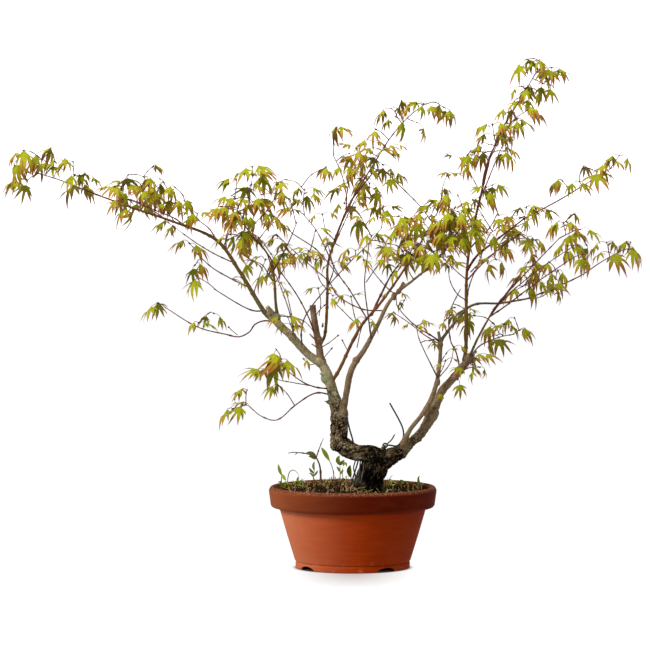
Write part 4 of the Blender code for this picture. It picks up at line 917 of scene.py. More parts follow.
def grow_shoot(crown, number, width, leaves, lobe, route):
    """A thin shoot with joints, and pairs of leaves at its end and at the joint below."""
    rng = random.Random(100 + number)
    path = route_path(route, 2.5)
    joints = int(sum(steps(path)) / SHOOT_JOINTS)
    nodes = [SHOOT_JOINTS * (k + 1) for k in range(joints)]
    twig(crown.twigs, path, 0.85 * width * MM, 0.85 * MM, 7, nodes, number % 2, number)
    heading = (path[-1] - path[-2]).normalized()
    bud(crown.twigs, path[-1], heading, 3.2 * MM)
    group = Group(place(*route[-1]), SHOOT_REACH, SHOOT_REACH * stretch(route[-1][1]), lobe)
    for k in range(leaves):
        index = len(path) - 1 - (k // 2) * 4
        if index < 2:
            break
        grow_leaf(crown, path[index], heading, (-1, 1)[k % 2], group, rng,
                  rng.uniform(0.25, 0.7))
        bud(crown.twigs, path[index], heading, 2.4 * MM)


def grow_leaf(crown, fork, heading, hand, group, rng, tint):
    """A leaf on its stalk from the fork, turned until it is clear of everything else."""
    count = 5 if group.lobe < SMALL_LEAF else 7
    for _ in range(TRIES):
        lobe = group.lobe * MM * rng.uniform(*LEAF_SIZE)
        side = heading.cross(UP)
        if side.length < 0.2:
            side = Vector((1, 0, 0))
        forward = heading * rng.uniform(0.2, 0.8)
        forward += side.normalized() * hand * rng.uniform(0.5, 1.0)
        forward += random_direction(rng) * 0.35
        forward.z = min(forward.z, 0.45) - rng.uniform(0.0, 0.3)
        forward.normalize()
        up = Vector((rng.uniform(-0.3, 0.3), rng.uniform(-0.6, 0.3), 1)).normalized()
        length = STALK * rng.uniform(0.8, 1.4)
        neck = fork + forward * length
        rise = UP * length * rng.uniform(0.08, 0.22)
        stalk = smooth_path([fork, fork + forward * length * 0.5 + rise, neck], 2.2 * MM)
        droop = rng.uniform(*DROOP)
        drawn = leaf_mesh(neck, forward, up, lobe, count, droop, rng,
                          tint + rng.uniform(-0.1, 0.1))
        proxy = star(neck, forward, up, lobe, droop)
        if not all(inside(group, v, MARGIN) for v in proxy[0]):
            continue
        if crown.grown.is_free(*proxy, 0.2 * MM) and crown.limbs.is_free(*proxy):
            crown.grown.add(*proxy)
            crown.leaves.add(*drawn)
            radii = [STALK_WIDTH / 2 * w for w in taper(1.15, 0.85, len(stalk))]
            crown.stalks.add(*tube(stalk, radii, 5), rng.choice((0, 0, 1)))
            return 1
    return 0


# Materials


class Look:
    """A material, with short calls for the nodes of its shader."""

    def __init__(self, name, colour, roughness, specular=None):
        self.material = bpy.data.materials.new(name)
        self.material.use_nodes = True
        self.tree = self.material.node_tree
        self.shader = self.tree.nodes["Principled BSDF"]
        self.set(self.shader, {"Base Color": colour, "Roughness": roughness})
        if specular is not None:
            self.set(self.shader, {"Specular IOR Level": specular})

    def set(self, node, inputs):
        """Each input of a node linked to an output, or set to a number or a colour."""
        for key, value in inputs.items():
            socket = node.inputs[key]
            if isinstance(value, bpy.types.NodeSocket):
                self.tree.links.new(value, socket)
            elif socket.type == "RGBA":
                socket.default_value = (*value, 1)
            else:
                socket.default_value = value

    def node(self, kind, output, inputs, **settings):
        """The output of a new node."""
        node = self.tree.nodes.new("ShaderNode" + kind)
        for key, value in settings.items():
            setattr(node, key, value)
        self.set(node, inputs)
        return node.outputs[output]

    def axes(self):
        """The outputs X, Y and Z of a place on the object."""
        place_node = self.node("TexCoord", "Object", {})
        split = self.tree.nodes.new("ShaderNodeSeparateXYZ")
        self.set(split, {"Vector": place_node})
        return split.outputs["X"], split.outputs["Y"], split.outputs["Z"]

    def stored(self, name):
        """A number stored on the mesh's points."""
        return self.node("Attribute", "Fac", {}, attribute_name=name)

    def noise(self, scale, detail=6.0, rough=0.6, squash=(1, 1, 1)):
        """A noise texture in object space, with its coordinates squashed along each axis."""
        spot = self.node("Mapping", "Vector", {"Vector": self.node("TexCoord", "Object", {}),
                                               "Scale": squash})
        return self.node("TexNoise", "Fac", {"Vector": spot, "Scale": scale, "Detail": detail,
                                             "Roughness": rough})

    def ramp(self, factor, *stops):
        """A colour ramp with (position, colour) stops."""
        ramp = self.tree.nodes.new("ShaderNodeValToRGB")
        elements = ramp.color_ramp.elements
        while len(elements) < len(stops):
            elements.new(0.5)
        for element, (position, colour) in zip(elements, stops):
            element.position = position
            element.color = (*colour, 1)
        self.set(ramp, {"Fac": factor})
        return ramp.outputs["Color"]

    def mix(self, factor, first, second):
        """The first colour, changing to the second as the factor rises."""
        return self.node("Mix", "Result", {"Factor": factor, "A": first, "B": second},
                         data_type="RGBA")

    def span(self, value, low, high, start=0.0, end=1.0):
        """A value's range low to high, carried over to start to end."""
        return self.node("MapRange", "Result", {"Value": value, "From Min": low, "From Max": high,
                                                "To Min": start, "To Max": end})

    def patches(self, colour, texture, low, high, share, new):
        """The colour, with the new one where the noise is high."""
        return self.mix(self.span(self.noise(*texture), low, high, 0.0, share), colour, new)

    def math(self, operation, first, second=0.0):
        """Arithmetic on two values."""
        return self.node("Math", "Value", {0: first, 1: second}, operation=operation)

    def times(self, first, second):
        """The product of two values."""
        return self.math("MULTIPLY", first, second)

    def blend(self, *parts):
        """The sum of the values by their weights."""
        total = None
        for value, weight in parts:
            part = value if weight == 1 else self.times(value, weight)
            total = part if total is None else self.math("ADD", total, part)
        return total

    def radius(self, across, ahead):
        """The distance from the middle, by its two parts."""
        squares = self.blend((self.times(across, across), 1), (self.times(ahead, ahead), 1))
        return self.math("SQRT", squares)

    def finish(self, colour, height, distance, strength=1.0):
        """The material, with its colour and relief from a height."""
        normal = self.node("Bump", "Normal", {"Height": height, "Distance": distance,
                                              "Strength": strength})
        self.set(self.shader, {"Base Color": colour, "Normal": normal})
        return self.material


def plain(name, colour, roughness, specular=None):
    """A material of one colour."""
    return Look(name, colour, roughness, specular).material


def bark_material():
    """Old wood: near black at the foot, corky brown above it, grey-green with lichen higher up."""
    look = Look("old_bark", (0.15, 0.11, 0.07), 0.9, 0.05)
    coarse = look.noise(90, 8, 0.7)
    fine = look.noise(700, 6, 0.7)
    mixed = look.blend((look.stored("relief"), 0.8), (coarse, 0.35), (fine, 0.25))
    foot = look.ramp(mixed, (0.42, (0.0006, 0.0005, 0.0003)), (0.70, (0.004, 0.003, 0.0015)),
                     (0.95, (0.070, 0.047, 0.022)))
    cork = look.ramp(mixed, (0.42, (0.007, 0.004, 0.0018)), (0.60, (0.080, 0.052, 0.024)),
                     (0.76, (0.200, 0.146, 0.076)), (1.0, (0.360, 0.285, 0.170)))
    young = look.ramp(mixed, (0.50, (0.110, 0.086, 0.036)), (0.62, (0.290, 0.244, 0.120)),
                      (0.76, (0.450, 0.405, 0.235)), (0.95, (0.620, 0.575, 0.400)))
    brown = look.ramp(mixed, (0.42, (0.065, 0.033, 0.014)), (0.60, (0.185, 0.105, 0.051)),
                      (0.78, (0.300, 0.196, 0.110)), (1.0, (0.450, 0.335, 0.220)))
    brown = look.patches(brown, (50, 4, 0.6), 0.51, 0.64, 0.75, (0.200, 0.066, 0.040))
    # Lichen, then dark spots and pale pores on grey and brown wood alike
    young = look.patches(young, (65, 6, 0.7), 0.56, 0.64, 0.8, (0.310, 0.330, 0.190))
    young = look.mix(look.stored("warm"), young, brown)
    young = look.patches(young, (170, 6, 0.75), 0.54, 0.64, 0.75, (0.120, 0.088, 0.044))
    young = look.patches(young, (420, 3, 0.6), 0.62, 0.72, 0.5, (0.560, 0.520, 0.400))
    age = look.stored("age")
    colour = look.mix(look.span(age, 0.15, 0.45), foot, cork)
    colour = look.mix(look.span(age, 0.5, 0.9), colour, young)
    colour = look.mix(look.stored("cut"), colour, (0.440, 0.370, 0.270))
    return look.finish(colour, look.blend((fine, 1), (coarse, 1)), 0.6 * MM, 0.9)


def young_bark_material():
    """Shoots that turn from grey and olive-brown at the foot to dark red at the tip."""
    look = Look("young_bark", (0.15, 0.07, 0.03), 0.65, 0.06)
    uneven = look.span(look.noise(150, 6, 0.65), 0.3, 0.7, -0.12, 0.12)
    colour = look.ramp(look.blend((look.stored("warm"), 1), (uneven, 1)),
                       (0.0, (0.165, 0.125, 0.080)), (0.22, (0.130, 0.095, 0.022)),
                       (0.50, (0.200, 0.080, 0.020)), (0.75, (0.150, 0.036, 0.018)),
                       (1.0, (0.085, 0.013, 0.013)))
    fine = look.noise(900, 4, 0.6)
    colour = look.mix(look.span(fine, 0.58, 0.7, 0.0, 0.4), colour, (0.300, 0.190, 0.110))
    return look.finish(colour, fine, 0.25 * MM, 0.6)


def shoot_material(name, dark, light, red):
    """Young smooth bark with faint streaks and pores."""
    look = Look(name, light, 0.65, 0.06)
    colour = look.ramp(look.noise(120, 5, 0.6), (0.35, dark), (0.62, light))
    colour = look.patches(colour, (60, 3, 0.5), 0.5, 0.62, 1.0, red)
    return look.finish(colour, look.noise(900, 4, 0.6), 0.2 * MM, 0.6)


def clay_material():
    """Fired clay: an orange body with faint throwing marks, and a darker, smoother rim."""
    look = Look("clay", (0.35, 0.07, 0.015), 0.62, 0.02)
    east, north, height = look.axes()
    blotch = look.noise(24, 6, 0.6)
    streak = look.noise(30, 5, 0.6, (1, 1, 6))
    speck = look.noise(620, 2, 0.5)
    mixed = look.blend((blotch, 0.5), (streak, 0.5))
    # Painted highlight of the left lamp on the left, painted shade on the right, pale and dark
    # specks
    body = look.ramp(mixed, (0.36, (0.340, 0.028, 0.0003)), (0.52, (0.405, 0.038, 0.0005)),
                     (0.68, (0.450, 0.058, 0.003)))
    across = look.blend((east, 1), (blotch, 0.04))
    painted_left_light = look.span(across, -0.075, 0.045, 1.0, 0.0)
    painted_left_light = look.times(painted_left_light, painted_left_light)
    body = look.mix(painted_left_light, body, (0.720, 0.240, 0.110))
    body = look.mix(look.span(across, 0.040, 0.100, 0.0, 0.7), body, (0.200, 0.018, 0.0004))
    body = look.mix(look.span(speck, 0.70, 0.76, 0.0, 0.35), body, (0.50, 0.20, 0.09))
    body = look.mix(look.span(speck, 0.32, 0.26, 0.0, 0.4), body, (0.20, 0.025, 0.003))
    # The rim, with a rough lip
    rim = look.ramp(mixed, (0.36, (0.088, 0.006, 0.0003)), (0.52, (0.110, 0.008, 0.0004)),
                    (0.68, (0.140, 0.015, 0.001)))
    # The rim gets the same painted highlight on its left side
    rim = look.mix(painted_left_light, rim, (0.320, 0.080, 0.026))
    rough_lip = look.ramp(speck, (0.38, (0.070, 0.016, 0.006)), (0.52, (0.190, 0.060, 0.026)),
                          (0.66, (0.330, 0.140, 0.075)))
    rim = look.mix(look.span(height, 0.0925, 0.0955), rim, rough_lip)
    colour = look.mix(look.span(height, 0.0722, 0.0737), body, rim)
    # Painted shadow under the rim, lime bloom near the foot and painted shade in the hollow beneath
    # and its notches
    painted_rim_shadow = look.times(look.span(height, 0.0700, 0.0726, 0.0, 0.55),
                       look.span(height, 0.0726, 0.0740, 1.0, 0.0))
    colour = look.mix(painted_rim_shadow, colour, (0.07, 0.012, 0.003))
    bloom = look.times(look.span(height, 0.015, 0.008, 0.0, 0.5),
                       look.span(look.noise(110, 5, 0.7), 0.54, 0.70))
    colour = look.mix(bloom, colour, (0.50, 0.24, 0.15))
    painted_hollow_shade = look.times(look.span(look.radius(east, north), 0.0668, 0.0655),
                        look.span(height, 0.0085, 0.0075))
    colour = look.mix(painted_hollow_shade, colour, (0.010, 0.002, 0.001))
    relief = look.blend((look.noise(900, 3, 0.6), 1), (streak, 2.0))
    return look.finish(colour, relief, 0.22 * MM, 0.6)


def soil_material(name, dark, mid, pale):
    """Crumbly soil from dark to pale grains."""
    look = Look(name, mid, 0.95, 0.1)
    fine = look.noise(1100, 4, 0.7)
    colour = look.ramp(look.blend((look.noise(240, 6, 0.7), 0.6), (fine, 0.4)),
                       (0.38, dark), (0.55, mid), (0.68, pale))
    return look.finish(colour, fine, 0.5 * MM)


# Wood


def flat_noise(spot, scale, detail=3):
    """Smooth noise between about -1 and 1."""
    return noise.fractal(spot * scale, 1.0, 2.0, detail)


def store(mesh, name, values):
    """Keep one number for each point of a mesh, for its material to read."""
    mesh.attributes.new(name, "FLOAT", "POINT").data.foreach_set("value", values)


def limb_path(base, tip, route, step):
    """The path of a limb and its radius at each point."""
    path = route_path(route, step)
    return path, [width * MM / 2 for width in taper(base, tip, len(path))]


def skin_path(knots, step):
    """The path of a skin row and its radius at each point, smooth through the knots."""
    radii = []
    for a, b in zip(knots, knots[1:]):
        pieces = max(1, round((place(*a[:3]) - place(*b[:3])).length / (step * MM)))
        radii += [(a[3] + (b[3] - a[3]) * i / pieces) * MM / 2 for i in range(pieces)]
    return route_path(knots, step), radii + [knots[-1][3] * MM / 2]


def skin_lines(builder):
    """Each limb's tube in the builder, and rows of its frame at every point of its path."""
    lines = []
    for name, knots in SKIN.items():
        path, radii = skin_path(knots, 1.5)
        headings = directions(path)
        side = headings[0].orthogonal().normalized()
        along = 0.0
        for index, (point, direction, radius) in enumerate(zip(path, headings, radii)):
            side = (side - direction * side.dot(direction)).normalized()
            if index:
                along += (point - path[index - 1]).length
            lines.append((point, direction, side, direction.cross(side), radius, along, name))
        swollen = [radius * (0.98 + 0.06 * flat_noise(point, 70))
                   for point, radius in zip(path, radii)]
        builder.add(*tube(path[::2], swollen[::2], 24))
    return lines


def old_wood():
    """Trunk, arms and thick boughs as one skin, with lumps, cork plates and ridges."""
    builder = Batch()
    lines = skin_lines(builder)
    spots, faces = ball(3)
    for middle, (half_x, half_z, half_depth) in LUMPS:
        middle = place(*middle)
        builder.add([middle + scaled(spot, half_x, half_depth, half_z) * MM for spot in spots],
                    faces)
    for start, end, base, tip in STUBS:
        builder.add(*tube([place(*start), place(*end)], [base / 2 * MM, tip / 2 * MM], 12))
    skin = builder.make("old_wood", smooth=False)
    remesh = skin.modifiers.new("skin", "REMESH")
    remesh.mode = "VOXEL"
    remesh.voxel_size = SKIN_MESH
    soften = skin.modifiers.new("soften", "SMOOTH")
    soften.factor = 0.5
    soften.iterations = SKIN_SMOOTHING
    mesh = bake_modifiers(skin)
    carve(mesh, lines)
    mesh.shade_smooth()
    mesh.materials.append(bark_material())
    return skin


def carve(mesh, lines):
    """The bark's relief on the smooth skin, and the numbers that its material reads."""
    tree = KDTree(len(lines))
    for index, row in enumerate(lines):
        tree.insert(row[0], index)
    tree.balance()
    dark_spots = [(place(*spot), reach * MM) for spot, reach in DARK]
    cut_spots = [(place(*spot), reach * MM) for spot, reach in CUTS]
    values = {"relief": [], "age": [], "warm": [], "cut": []}
    moved = []
    noise.seed_set(SKIN_SEED)
    for vertex in mesh.vertices:
        nearest = min((distance - lines[index][4], index)
                      for _, index, distance in tree.find_n(vertex.co, 10))
        point, direction, side, other, radius, along, name = lines[nearest[1]]
        offset = vertex.co - point
        local = Vector((offset.dot(side), offset.dot(other), along + offset.dot(direction)))
        old, age = bark_age(name, vertex.co, vertex.normal)
        for spot, reach in dark_spots:
            age *= 1 - 0.92 * clamp(1.7 - (vertex.co - spot).length / reach)
        cut = max(clamp(1.5 - (vertex.co - spot).length / reach) for spot, reach in cut_spots)
        amount = bark_relief(local, old, name, radius) * (1 - 0.8 * cut)
        relief = 0.5 + 0.5 * clamp(amount / (1.1 * MM), -1.0, 1.0)
        for key, value in zip(values, (relief, age, WARM.get(name, 0.0), cut)):
            values[key].append(value)
        moved.append(vertex.co + vertex.normal * amount)
    for vertex, spot in zip(mesh.vertices, moved):
        vertex.co = (spot.x, spot.y, max(spot.z, SOIL_TOP - SKIN_FOOT))
    for name, numbers in values.items():
        store(mesh, name, numbers)


def bark_age(name, spot, normal):
    """How corky the bark is (1 old, 0 young) and its place on the colours from foot to top, lowered
    by a painted shade where the surface faces down.
    """
    x = spot.x / MM
    z = spot.z / MM
    # Painted shade: faces that look down move towards the dark colours
    shade = 0.18 * clamp(-normal.z - 0.2, 0, 0.6) / 0.6
    if name == "trunk":
        left = 0.28 * clamp((18 - x) / 9)
        return 1.0, min(0.06 + left + max(0.0, (z - 128) / 40), 0.4) - shade / 2
    if name == "left_arm":
        return 0.8, 0.52 - shade
    if name == "left_leader":
        share = clamp((z - 184) / 36)
        return 1.0 - 0.8 * share, 0.49 + 0.49 * share - shade * (1 - share)
    if name == "right_leader":
        share = clamp((x - 52) / 40)
        return 0.85 - 0.55 * share, 0.44 + 0.46 * share - shade * (1 - share)
    return 0.16, 0.94


def bark_relief(local, old, name, radius):
    """How far the bark stands out (m) at a place in the limb's own frame."""
    along = {"trunk": 95, "left_arm": 150, "left_leader": 215}.get(name, 190)
    spot = local + noise.noise_vector(local * 180) * 2.2 * MM
    cells, _ = noise.voronoi(scaled(spot, 390, 390, along))
    plate = clamp((cells[1] - cells[0]) * 2.4)
    patchy = clamp(0.75 + 0.8 * flat_noise(local, 90, 2), 0.25, 1.2)
    cork = (plate - 0.6) * 1.5 * MM * old * patchy
    rough = flat_noise(scaled(local, 1, 1, 0.6), 420, 4) * 0.75 * MM * (0.12 + old)
    swell = flat_noise(scaled(local, 1, 1, 0.7), 95, 2) * 0.9 * MM * (0.2 + old)
    if radius < 6 * MM:
        swell *= 0.5
    return cork + rough + swell


def young_limbs():
    """The thin boughs as round shoots with a collar at the foot and swollen joints."""
    sides = 12
    batch = Batch()
    redness = []
    for number, (name, (foot, tip, foot_red, tip_red)) in enumerate(SLIM.items()):
        path = route_path(LIMBS[name][2], 1.6)
        along = 0.0
        shaped = []
        rng = random.Random(number)
        next_node = rng.uniform(14, 22) * MM
        for index, point in enumerate(path):
            share = index / (len(path) - 1)
            radius = (foot + (tip - foot) * share**0.8) * MM / 2
            if index:
                along += (point - path[index - 1]).length
            if along > next_node + 3 * MM:
                next_node += rng.uniform(16, 30) * MM
            collar = 0.45 * math.exp(-((along - 2 * MM) / (4 * MM)) ** 2)
            joint = 0.3 * math.exp(-((along - next_node) / (1.2 * MM)) ** 2)
            uneven = 0.07 * flat_noise(point, 150, 2)
            shaped.append(radius * (0.98 + collar + joint + uneven))
            redness += [foot_red + (tip_red - foot_red) * share] * sides
        batch.add(*tube(path, shaped, sides, 0.10, number))
    piece = batch.make("young_boughs", [young_bark_material()])
    store(piece.data, "warm", redness)
    return piece


def wires():
    """The black training wires with the small loop at the foot of the right one."""
    batch = Batch()
    for name, (base, tip, route) in LIMBS.items():
        if name in WIRES:
            path, radii = limb_path(base, tip, WIRE_RIGHT if name == "wire_right" else route, 1.5)
            batch.add(*tube(path, [r * 1.04 for r in radii], 10))
    centre = place(38.5, 145.5, -13)
    turns = [FULL_TURN * k / 20 for k in range(21)]
    ring = [centre + Vector((math.cos(t), -0.35 * math.sin(t), math.sin(t))) * 2.5 * MM
            for t in turns]
    batch.add(*tube(ring, 0.95 * MM, 10))
    for route in WIRE_ENDS:
        batch.add(*tube(route_path(route, 1.5), 0.8 * MM, 10))
    return batch.make("training_wires", [plain("wire_black", (0.006, 0.006, 0.007), 0.35)])


# Pot and soil


def body_radius(height):
    """The pot's outer radius where its plain wall rises from the foot to the rim."""
    share = (height - FOOT_HEIGHT) / (RIM_FOOT - FOOT_HEIGHT)
    top = RIM_RADIUS - RIM_STEP - 2 * MM
    return FOOT_RADIUS + 1 * MM + (top - FOOT_RADIUS - 1 * MM) * share


def rounded(profile, radius):
    """The profile with each corner cut into a short arc."""
    points = [profile[0]]
    for before, corner, after in zip(profile, profile[1:], profile[2:]):
        corner = Vector(corner)
        back = Vector(before) - corner
        ahead = Vector(after) - corner
        cut = min(radius, back.length * 0.45, ahead.length * 0.45)
        start = corner + back.normalized() * cut
        end = corner + ahead.normalized() * cut
        for k in range(5):
            t = k / 4
            points.append(tuple(start * (1 - t) ** 2 + corner * 2 * t * (1 - t) + end * t**2))
    points.append(profile[-1])
    return points


def pot_profile():
    """Radius and height of the pot's outline, from the middle below to the middle inside."""
    return rounded([
        (0, 0.4 * MM), (FOOT_RADIUS - 12 * MM, 0.4 * MM), (FOOT_RADIUS - 10 * MM, 0),
        (FOOT_RADIUS, 0), (FOOT_RADIUS + 0.2 * MM, FOOT_HEIGHT - 1.4 * MM),
        (FOOT_RADIUS - 1.2 * MM, FOOT_HEIGHT - 0.2 * MM),
        (FOOT_RADIUS + 0.8 * MM, FOOT_HEIGHT + 1 * MM), (body_radius(40 * MM), 40 * MM),
        (body_radius(RIM_FOOT - 2.4 * MM), RIM_FOOT - 2.4 * MM),
        (body_radius(RIM_FOOT) - 1.6 * MM, RIM_FOOT - 0.6 * MM),
        (RIM_RADIUS - 4.4 * MM, RIM_FOOT - 0.6 * MM), (RIM_RADIUS - 2.4 * MM, RIM_FOOT + 1.6 * MM),
        (RIM_RADIUS - 0.6 * MM, POT_HEIGHT - 9 * MM), (RIM_RADIUS, POT_HEIGHT - 4 * MM),
        (RIM_RADIUS - 2.6 * MM, POT_HEIGHT), (MOUTH + 1.5 * MM, POT_HEIGHT),
        (MOUTH - 0.5 * MM, POT_HEIGHT - 3 * MM), (MOUTH - 2 * MM, SOIL_EDGE - 8 * MM),
        (0, SOIL_EDGE - 9 * MM)], 1.6 * MM)


def face_outwards(mesh, merge=False):
    """Turns a mesh's faces outwards, after merging its double points."""
    body = bmesh.new()
    body.from_mesh(mesh)
    if merge:
        bmesh.ops.remove_doubles(body, verts=body.verts, dist=0.01 * MM)
    bmesh.ops.recalc_face_normals(body, faces=body.faces)
    body.to_mesh(mesh)
    body.free()


def notch_block(angle):
    """The arched block that cuts a drainage notch into the foot."""
    turn = math.radians(angle)
    outward = Vector((math.sin(turn), -math.cos(turn), 0))
    across = Vector((outward.y, -outward.x, 0))
    arch = [(-1, -1), (1, -1)] + [(math.cos(math.pi * k / 16), math.sin(math.pi * k / 16))
                                  for k in range(17)]
    count = len(arch)
    spots = [outward * reach + across * side * NOTCH_WIDTH / 2 + Vector((0, 0, up * NOTCH_HEIGHT))
             for reach in (FOOT_RADIUS - NOTCH_DEPTH, FOOT_RADIUS + NOTCH_DEPTH)
             for side, up in arch]
    sheets = [tuple(range(count)), tuple(reversed(range(count, 2 * count)))]
    batch = Batch()
    batch.add(spots, sheets + ring_faces(2, count))
    block = batch.make("notch", smooth=False)
    face_outwards(block.data)
    return block


def pot():
    """The turned pot with a throwing-marked wall, and its arched drainage notches."""
    profile = pot_profile()
    vertices = []
    for radius, height in profile:
        for i in range(POT_SIDES):
            turn = FULL_TURN * i / POT_SIDES
            spot = Vector((radius * math.cos(turn), radius * math.sin(turn), height))
            if 10 * MM < height < POT_HEIGHT and radius > 60 * MM:
                spot *= 1 + 0.0012 * flat_noise(spot, 25, 2)
                spot.z = height
            vertices.append(spot)
    batch = Batch()
    batch.add(vertices, ring_faces(len(profile), POT_SIDES))
    piece = batch.make("clay_pot", [clay_material()])
    face_outwards(piece.data, merge=True)
    blocks = [notch_block(angle) for angle in NOTCH_ANGLES]
    for block in blocks:
        modifier = piece.modifiers.new("notch", "BOOLEAN")
        modifier.object = block
        modifier.solver = "EXACT"
    mesh = bake_modifiers(piece)
    for block in blocks:
        bpy.data.objects.remove(block)
    mesh.shade_smooth()
    mesh.set_sharp_from_angle(angle=math.radians(35))
    return piece


def soil_height(x, y):
    """The height of the soil's surface."""
    share = min(math.hypot(x, y) / (MOUTH - 2 * MM), 1.0)
    heap = SOIL_TOP - (SOIL_TOP - SOIL_EDGE + 1.5 * MM) * share**2.2
    spot = Vector((x, y, 0))
    rough = flat_noise(spot, 55, 3) * 2.0 * MM + flat_noise(spot, 240, 3) * 1.5 * MM
    away = (x - SEAT_X) ** 2 + (y + 10 * MM) ** 2
    return heap + rough * (1 - 0.5 * share) - SOIL_HOLLOW * math.exp(-away / (27 * MM) ** 2)


def soil_point(x, y):
    """The point of the soil's surface at x, y."""
    return Vector((x, y, soil_height(x, y)))


def soil():
    """The soil's surface as a fine crumbly sheet."""
    vertices = [soil_point(0, 0)]
    for ring in range(1, SOIL_RINGS + 1):
        radius = (MOUTH - 1.2 * MM) * ring / SOIL_RINGS
        for i in range(SOIL_SIDES):
            turn = FULL_TURN * i / SOIL_SIDES
            vertices.append(soil_point(radius * math.cos(turn), radius * math.sin(turn)))
    faces = [(0, 1 + i, 1 + (i + 1) % SOIL_SIDES) for i in range(SOIL_SIDES)]
    faces += [(a, d, c, b) for a, b, c, d in ring_faces(SOIL_RINGS, SOIL_SIDES, 1)]
    batch = Batch()
    batch.add(vertices, faces)
    return batch.make("potting_soil", [soil_material(*SOIL_TONE)])


def soil_spot(rng, low=0.0):
    """A random place on the soil, off the trunk and at least low from the middle."""
    reach = MOUTH - 4 * MM
    while True:
        x = rng.uniform(-1, 1) * reach
        y = rng.uniform(-1, 1) * reach
        if low < math.hypot(x, y) < reach and math.hypot(x - SEAT_X, y) > 19 * MM:
            return soil_point(x, y)


def seat(x, z):
    """The depth (mm) at which the sight line through x, z meets the soil."""
    depth = -84
    while depth < 84:
        spot = place(x, z, depth)
        is_past = depth > 0 and math.hypot(spot.x, spot.y) > MOUTH - 6 * MM
        if is_past or spot.z < soil_height(spot.x, spot.y) - 0.6 * MM:
            break
        depth += 1
    return depth


def seated(routes):
    """Paths through the knots, each moved in depth with the last one that starts at the soil."""
    paths = []
    shift = 0
    for route in routes:
        x, z, depth = route[0]
        if z < GROUND:
            shift = seat(x, z) - depth
        knots = [place(knot[0], knot[1], knot[2] + shift) for knot in route]
        if z < GROUND:
            knots[0].z = min(knots[0].z, soil_height(knots[0].x, knots[0].y) - 0.6 * MM)
        paths.append(knots)
    return paths


def crumbs():
    """Loose crumbs, grit and dry fibres on the soil."""
    rng = random.Random(5)
    batch = Batch()
    corners, faces = ball(1)
    for _ in range(CRUMBS):
        spot = soil_spot(rng)
        size = rng.uniform(0.6, 2.2) * MM
        scale = Vector((rng.uniform(0.7, 1.2), rng.uniform(0.7, 1.2), rng.uniform(0.5, 1.0))) * size
        shift = Vector((rng.random(), rng.random(), rng.random())) * 9
        spots = [spot + scaled(v, *scale) * (1 + 0.45 * noise.noise(v * 1.3 + shift))
                 for v in corners]
        batch.add(spots, faces, rng.choice((0, 0, 0, 0, 0, 1, 1, 1, 2)))
    for number in range(STRAWS):
        spot = soil_spot(rng)
        lift = rng.uniform(0, 2.5)
        if number % 5 < 2:
            # A heap of straw to the left of the trunk
            spot = Vector((rng.uniform(-27, 2), rng.uniform(-12, 26), 0)) * MM
            spot.z = soil_height(spot.x, spot.y)
            lift = rng.uniform(1, 10)
        turn = rng.uniform(0, FULL_TURN)
        length = rng.uniform(5, 19) * MM
        flat = Vector((math.cos(turn), math.sin(turn), rng.uniform(-0.1, 0.35)))
        bend = Vector((-flat.y, flat.x, 0)) * rng.uniform(-0.4, 0.4) * length
        start = spot + Vector((0, 0, 0.6 * MM))
        middle = start + flat * length * 0.5 + bend + Vector((0, 0, lift * MM))
        path = smooth_path([start, middle, start + flat * length], 2 * MM)
        path = [p if math.hypot(p.x, p.y) < MOUTH else start for p in path]
        if min(steps(path)) > 0.01 * MM:
            width = rng.uniform(0.5, 1.0) * MM
            batch.add(*tube(path, width / 2, 4), rng.choice((3, 3, 4, 4, 4)))
    return batch.make("soil_litter", [soil_material(*row) for row in CRUMB_TONES])


def blade(batch, path, width, normal, tone):
    """A narrow leaf along a path, widest in its middle and slightly folded."""
    count = len(path)
    vertices = []
    faces = []
    for index, (point, direction) in enumerate(zip(path, directions(path))):
        side = direction.cross(normal).normalized()
        half = width / 2 * math.sin(math.pi * (0.06 + 0.94 * index / (count - 1))) ** 0.8
        lift = side.cross(direction) * half * 0.35
        vertices += [point - side * half + lift, point, point + side * half + lift]
        if index:
            a = 3 * (index - 1)
            faces += [(a, a + 1, a + 4, a + 3), (a + 1, a + 2, a + 5, a + 4)]
    batch.add(vertices, faces, tone)


def rosettes(batch, rng):
    """Low weeds with a ring of small leaves."""
    for x, z, depth, count, size in ROSETTES:
        head = place(x, z, depth)
        head.z = max(soil_height(head.x, head.y) + 1.5 * MM, head.z - 3 * MM)
        foot = Vector((head.x, head.y, soil_height(head.x, head.y) - 1 * MM))
        batch.add(*tube([foot, head], 0.45 * MM, 5), rng.choice((0, 3)))
        for k in range(count):
            turn = 2.4 * k + rng.uniform(-0.4, 0.4)
            heading = Vector((math.cos(turn), math.sin(turn), rng.uniform(0.15, 0.8))).normalized()
            length = size * MM * rng.uniform(0.7, 1.15)
            middle = head + heading * length * 0.5 + Vector((0, 0, length * 0.12))
            blade(batch, smooth_path([head, middle, head + heading * length], length / 5),
                  length * 0.36, UP, rng.choice((0, 1, 1, 2)))


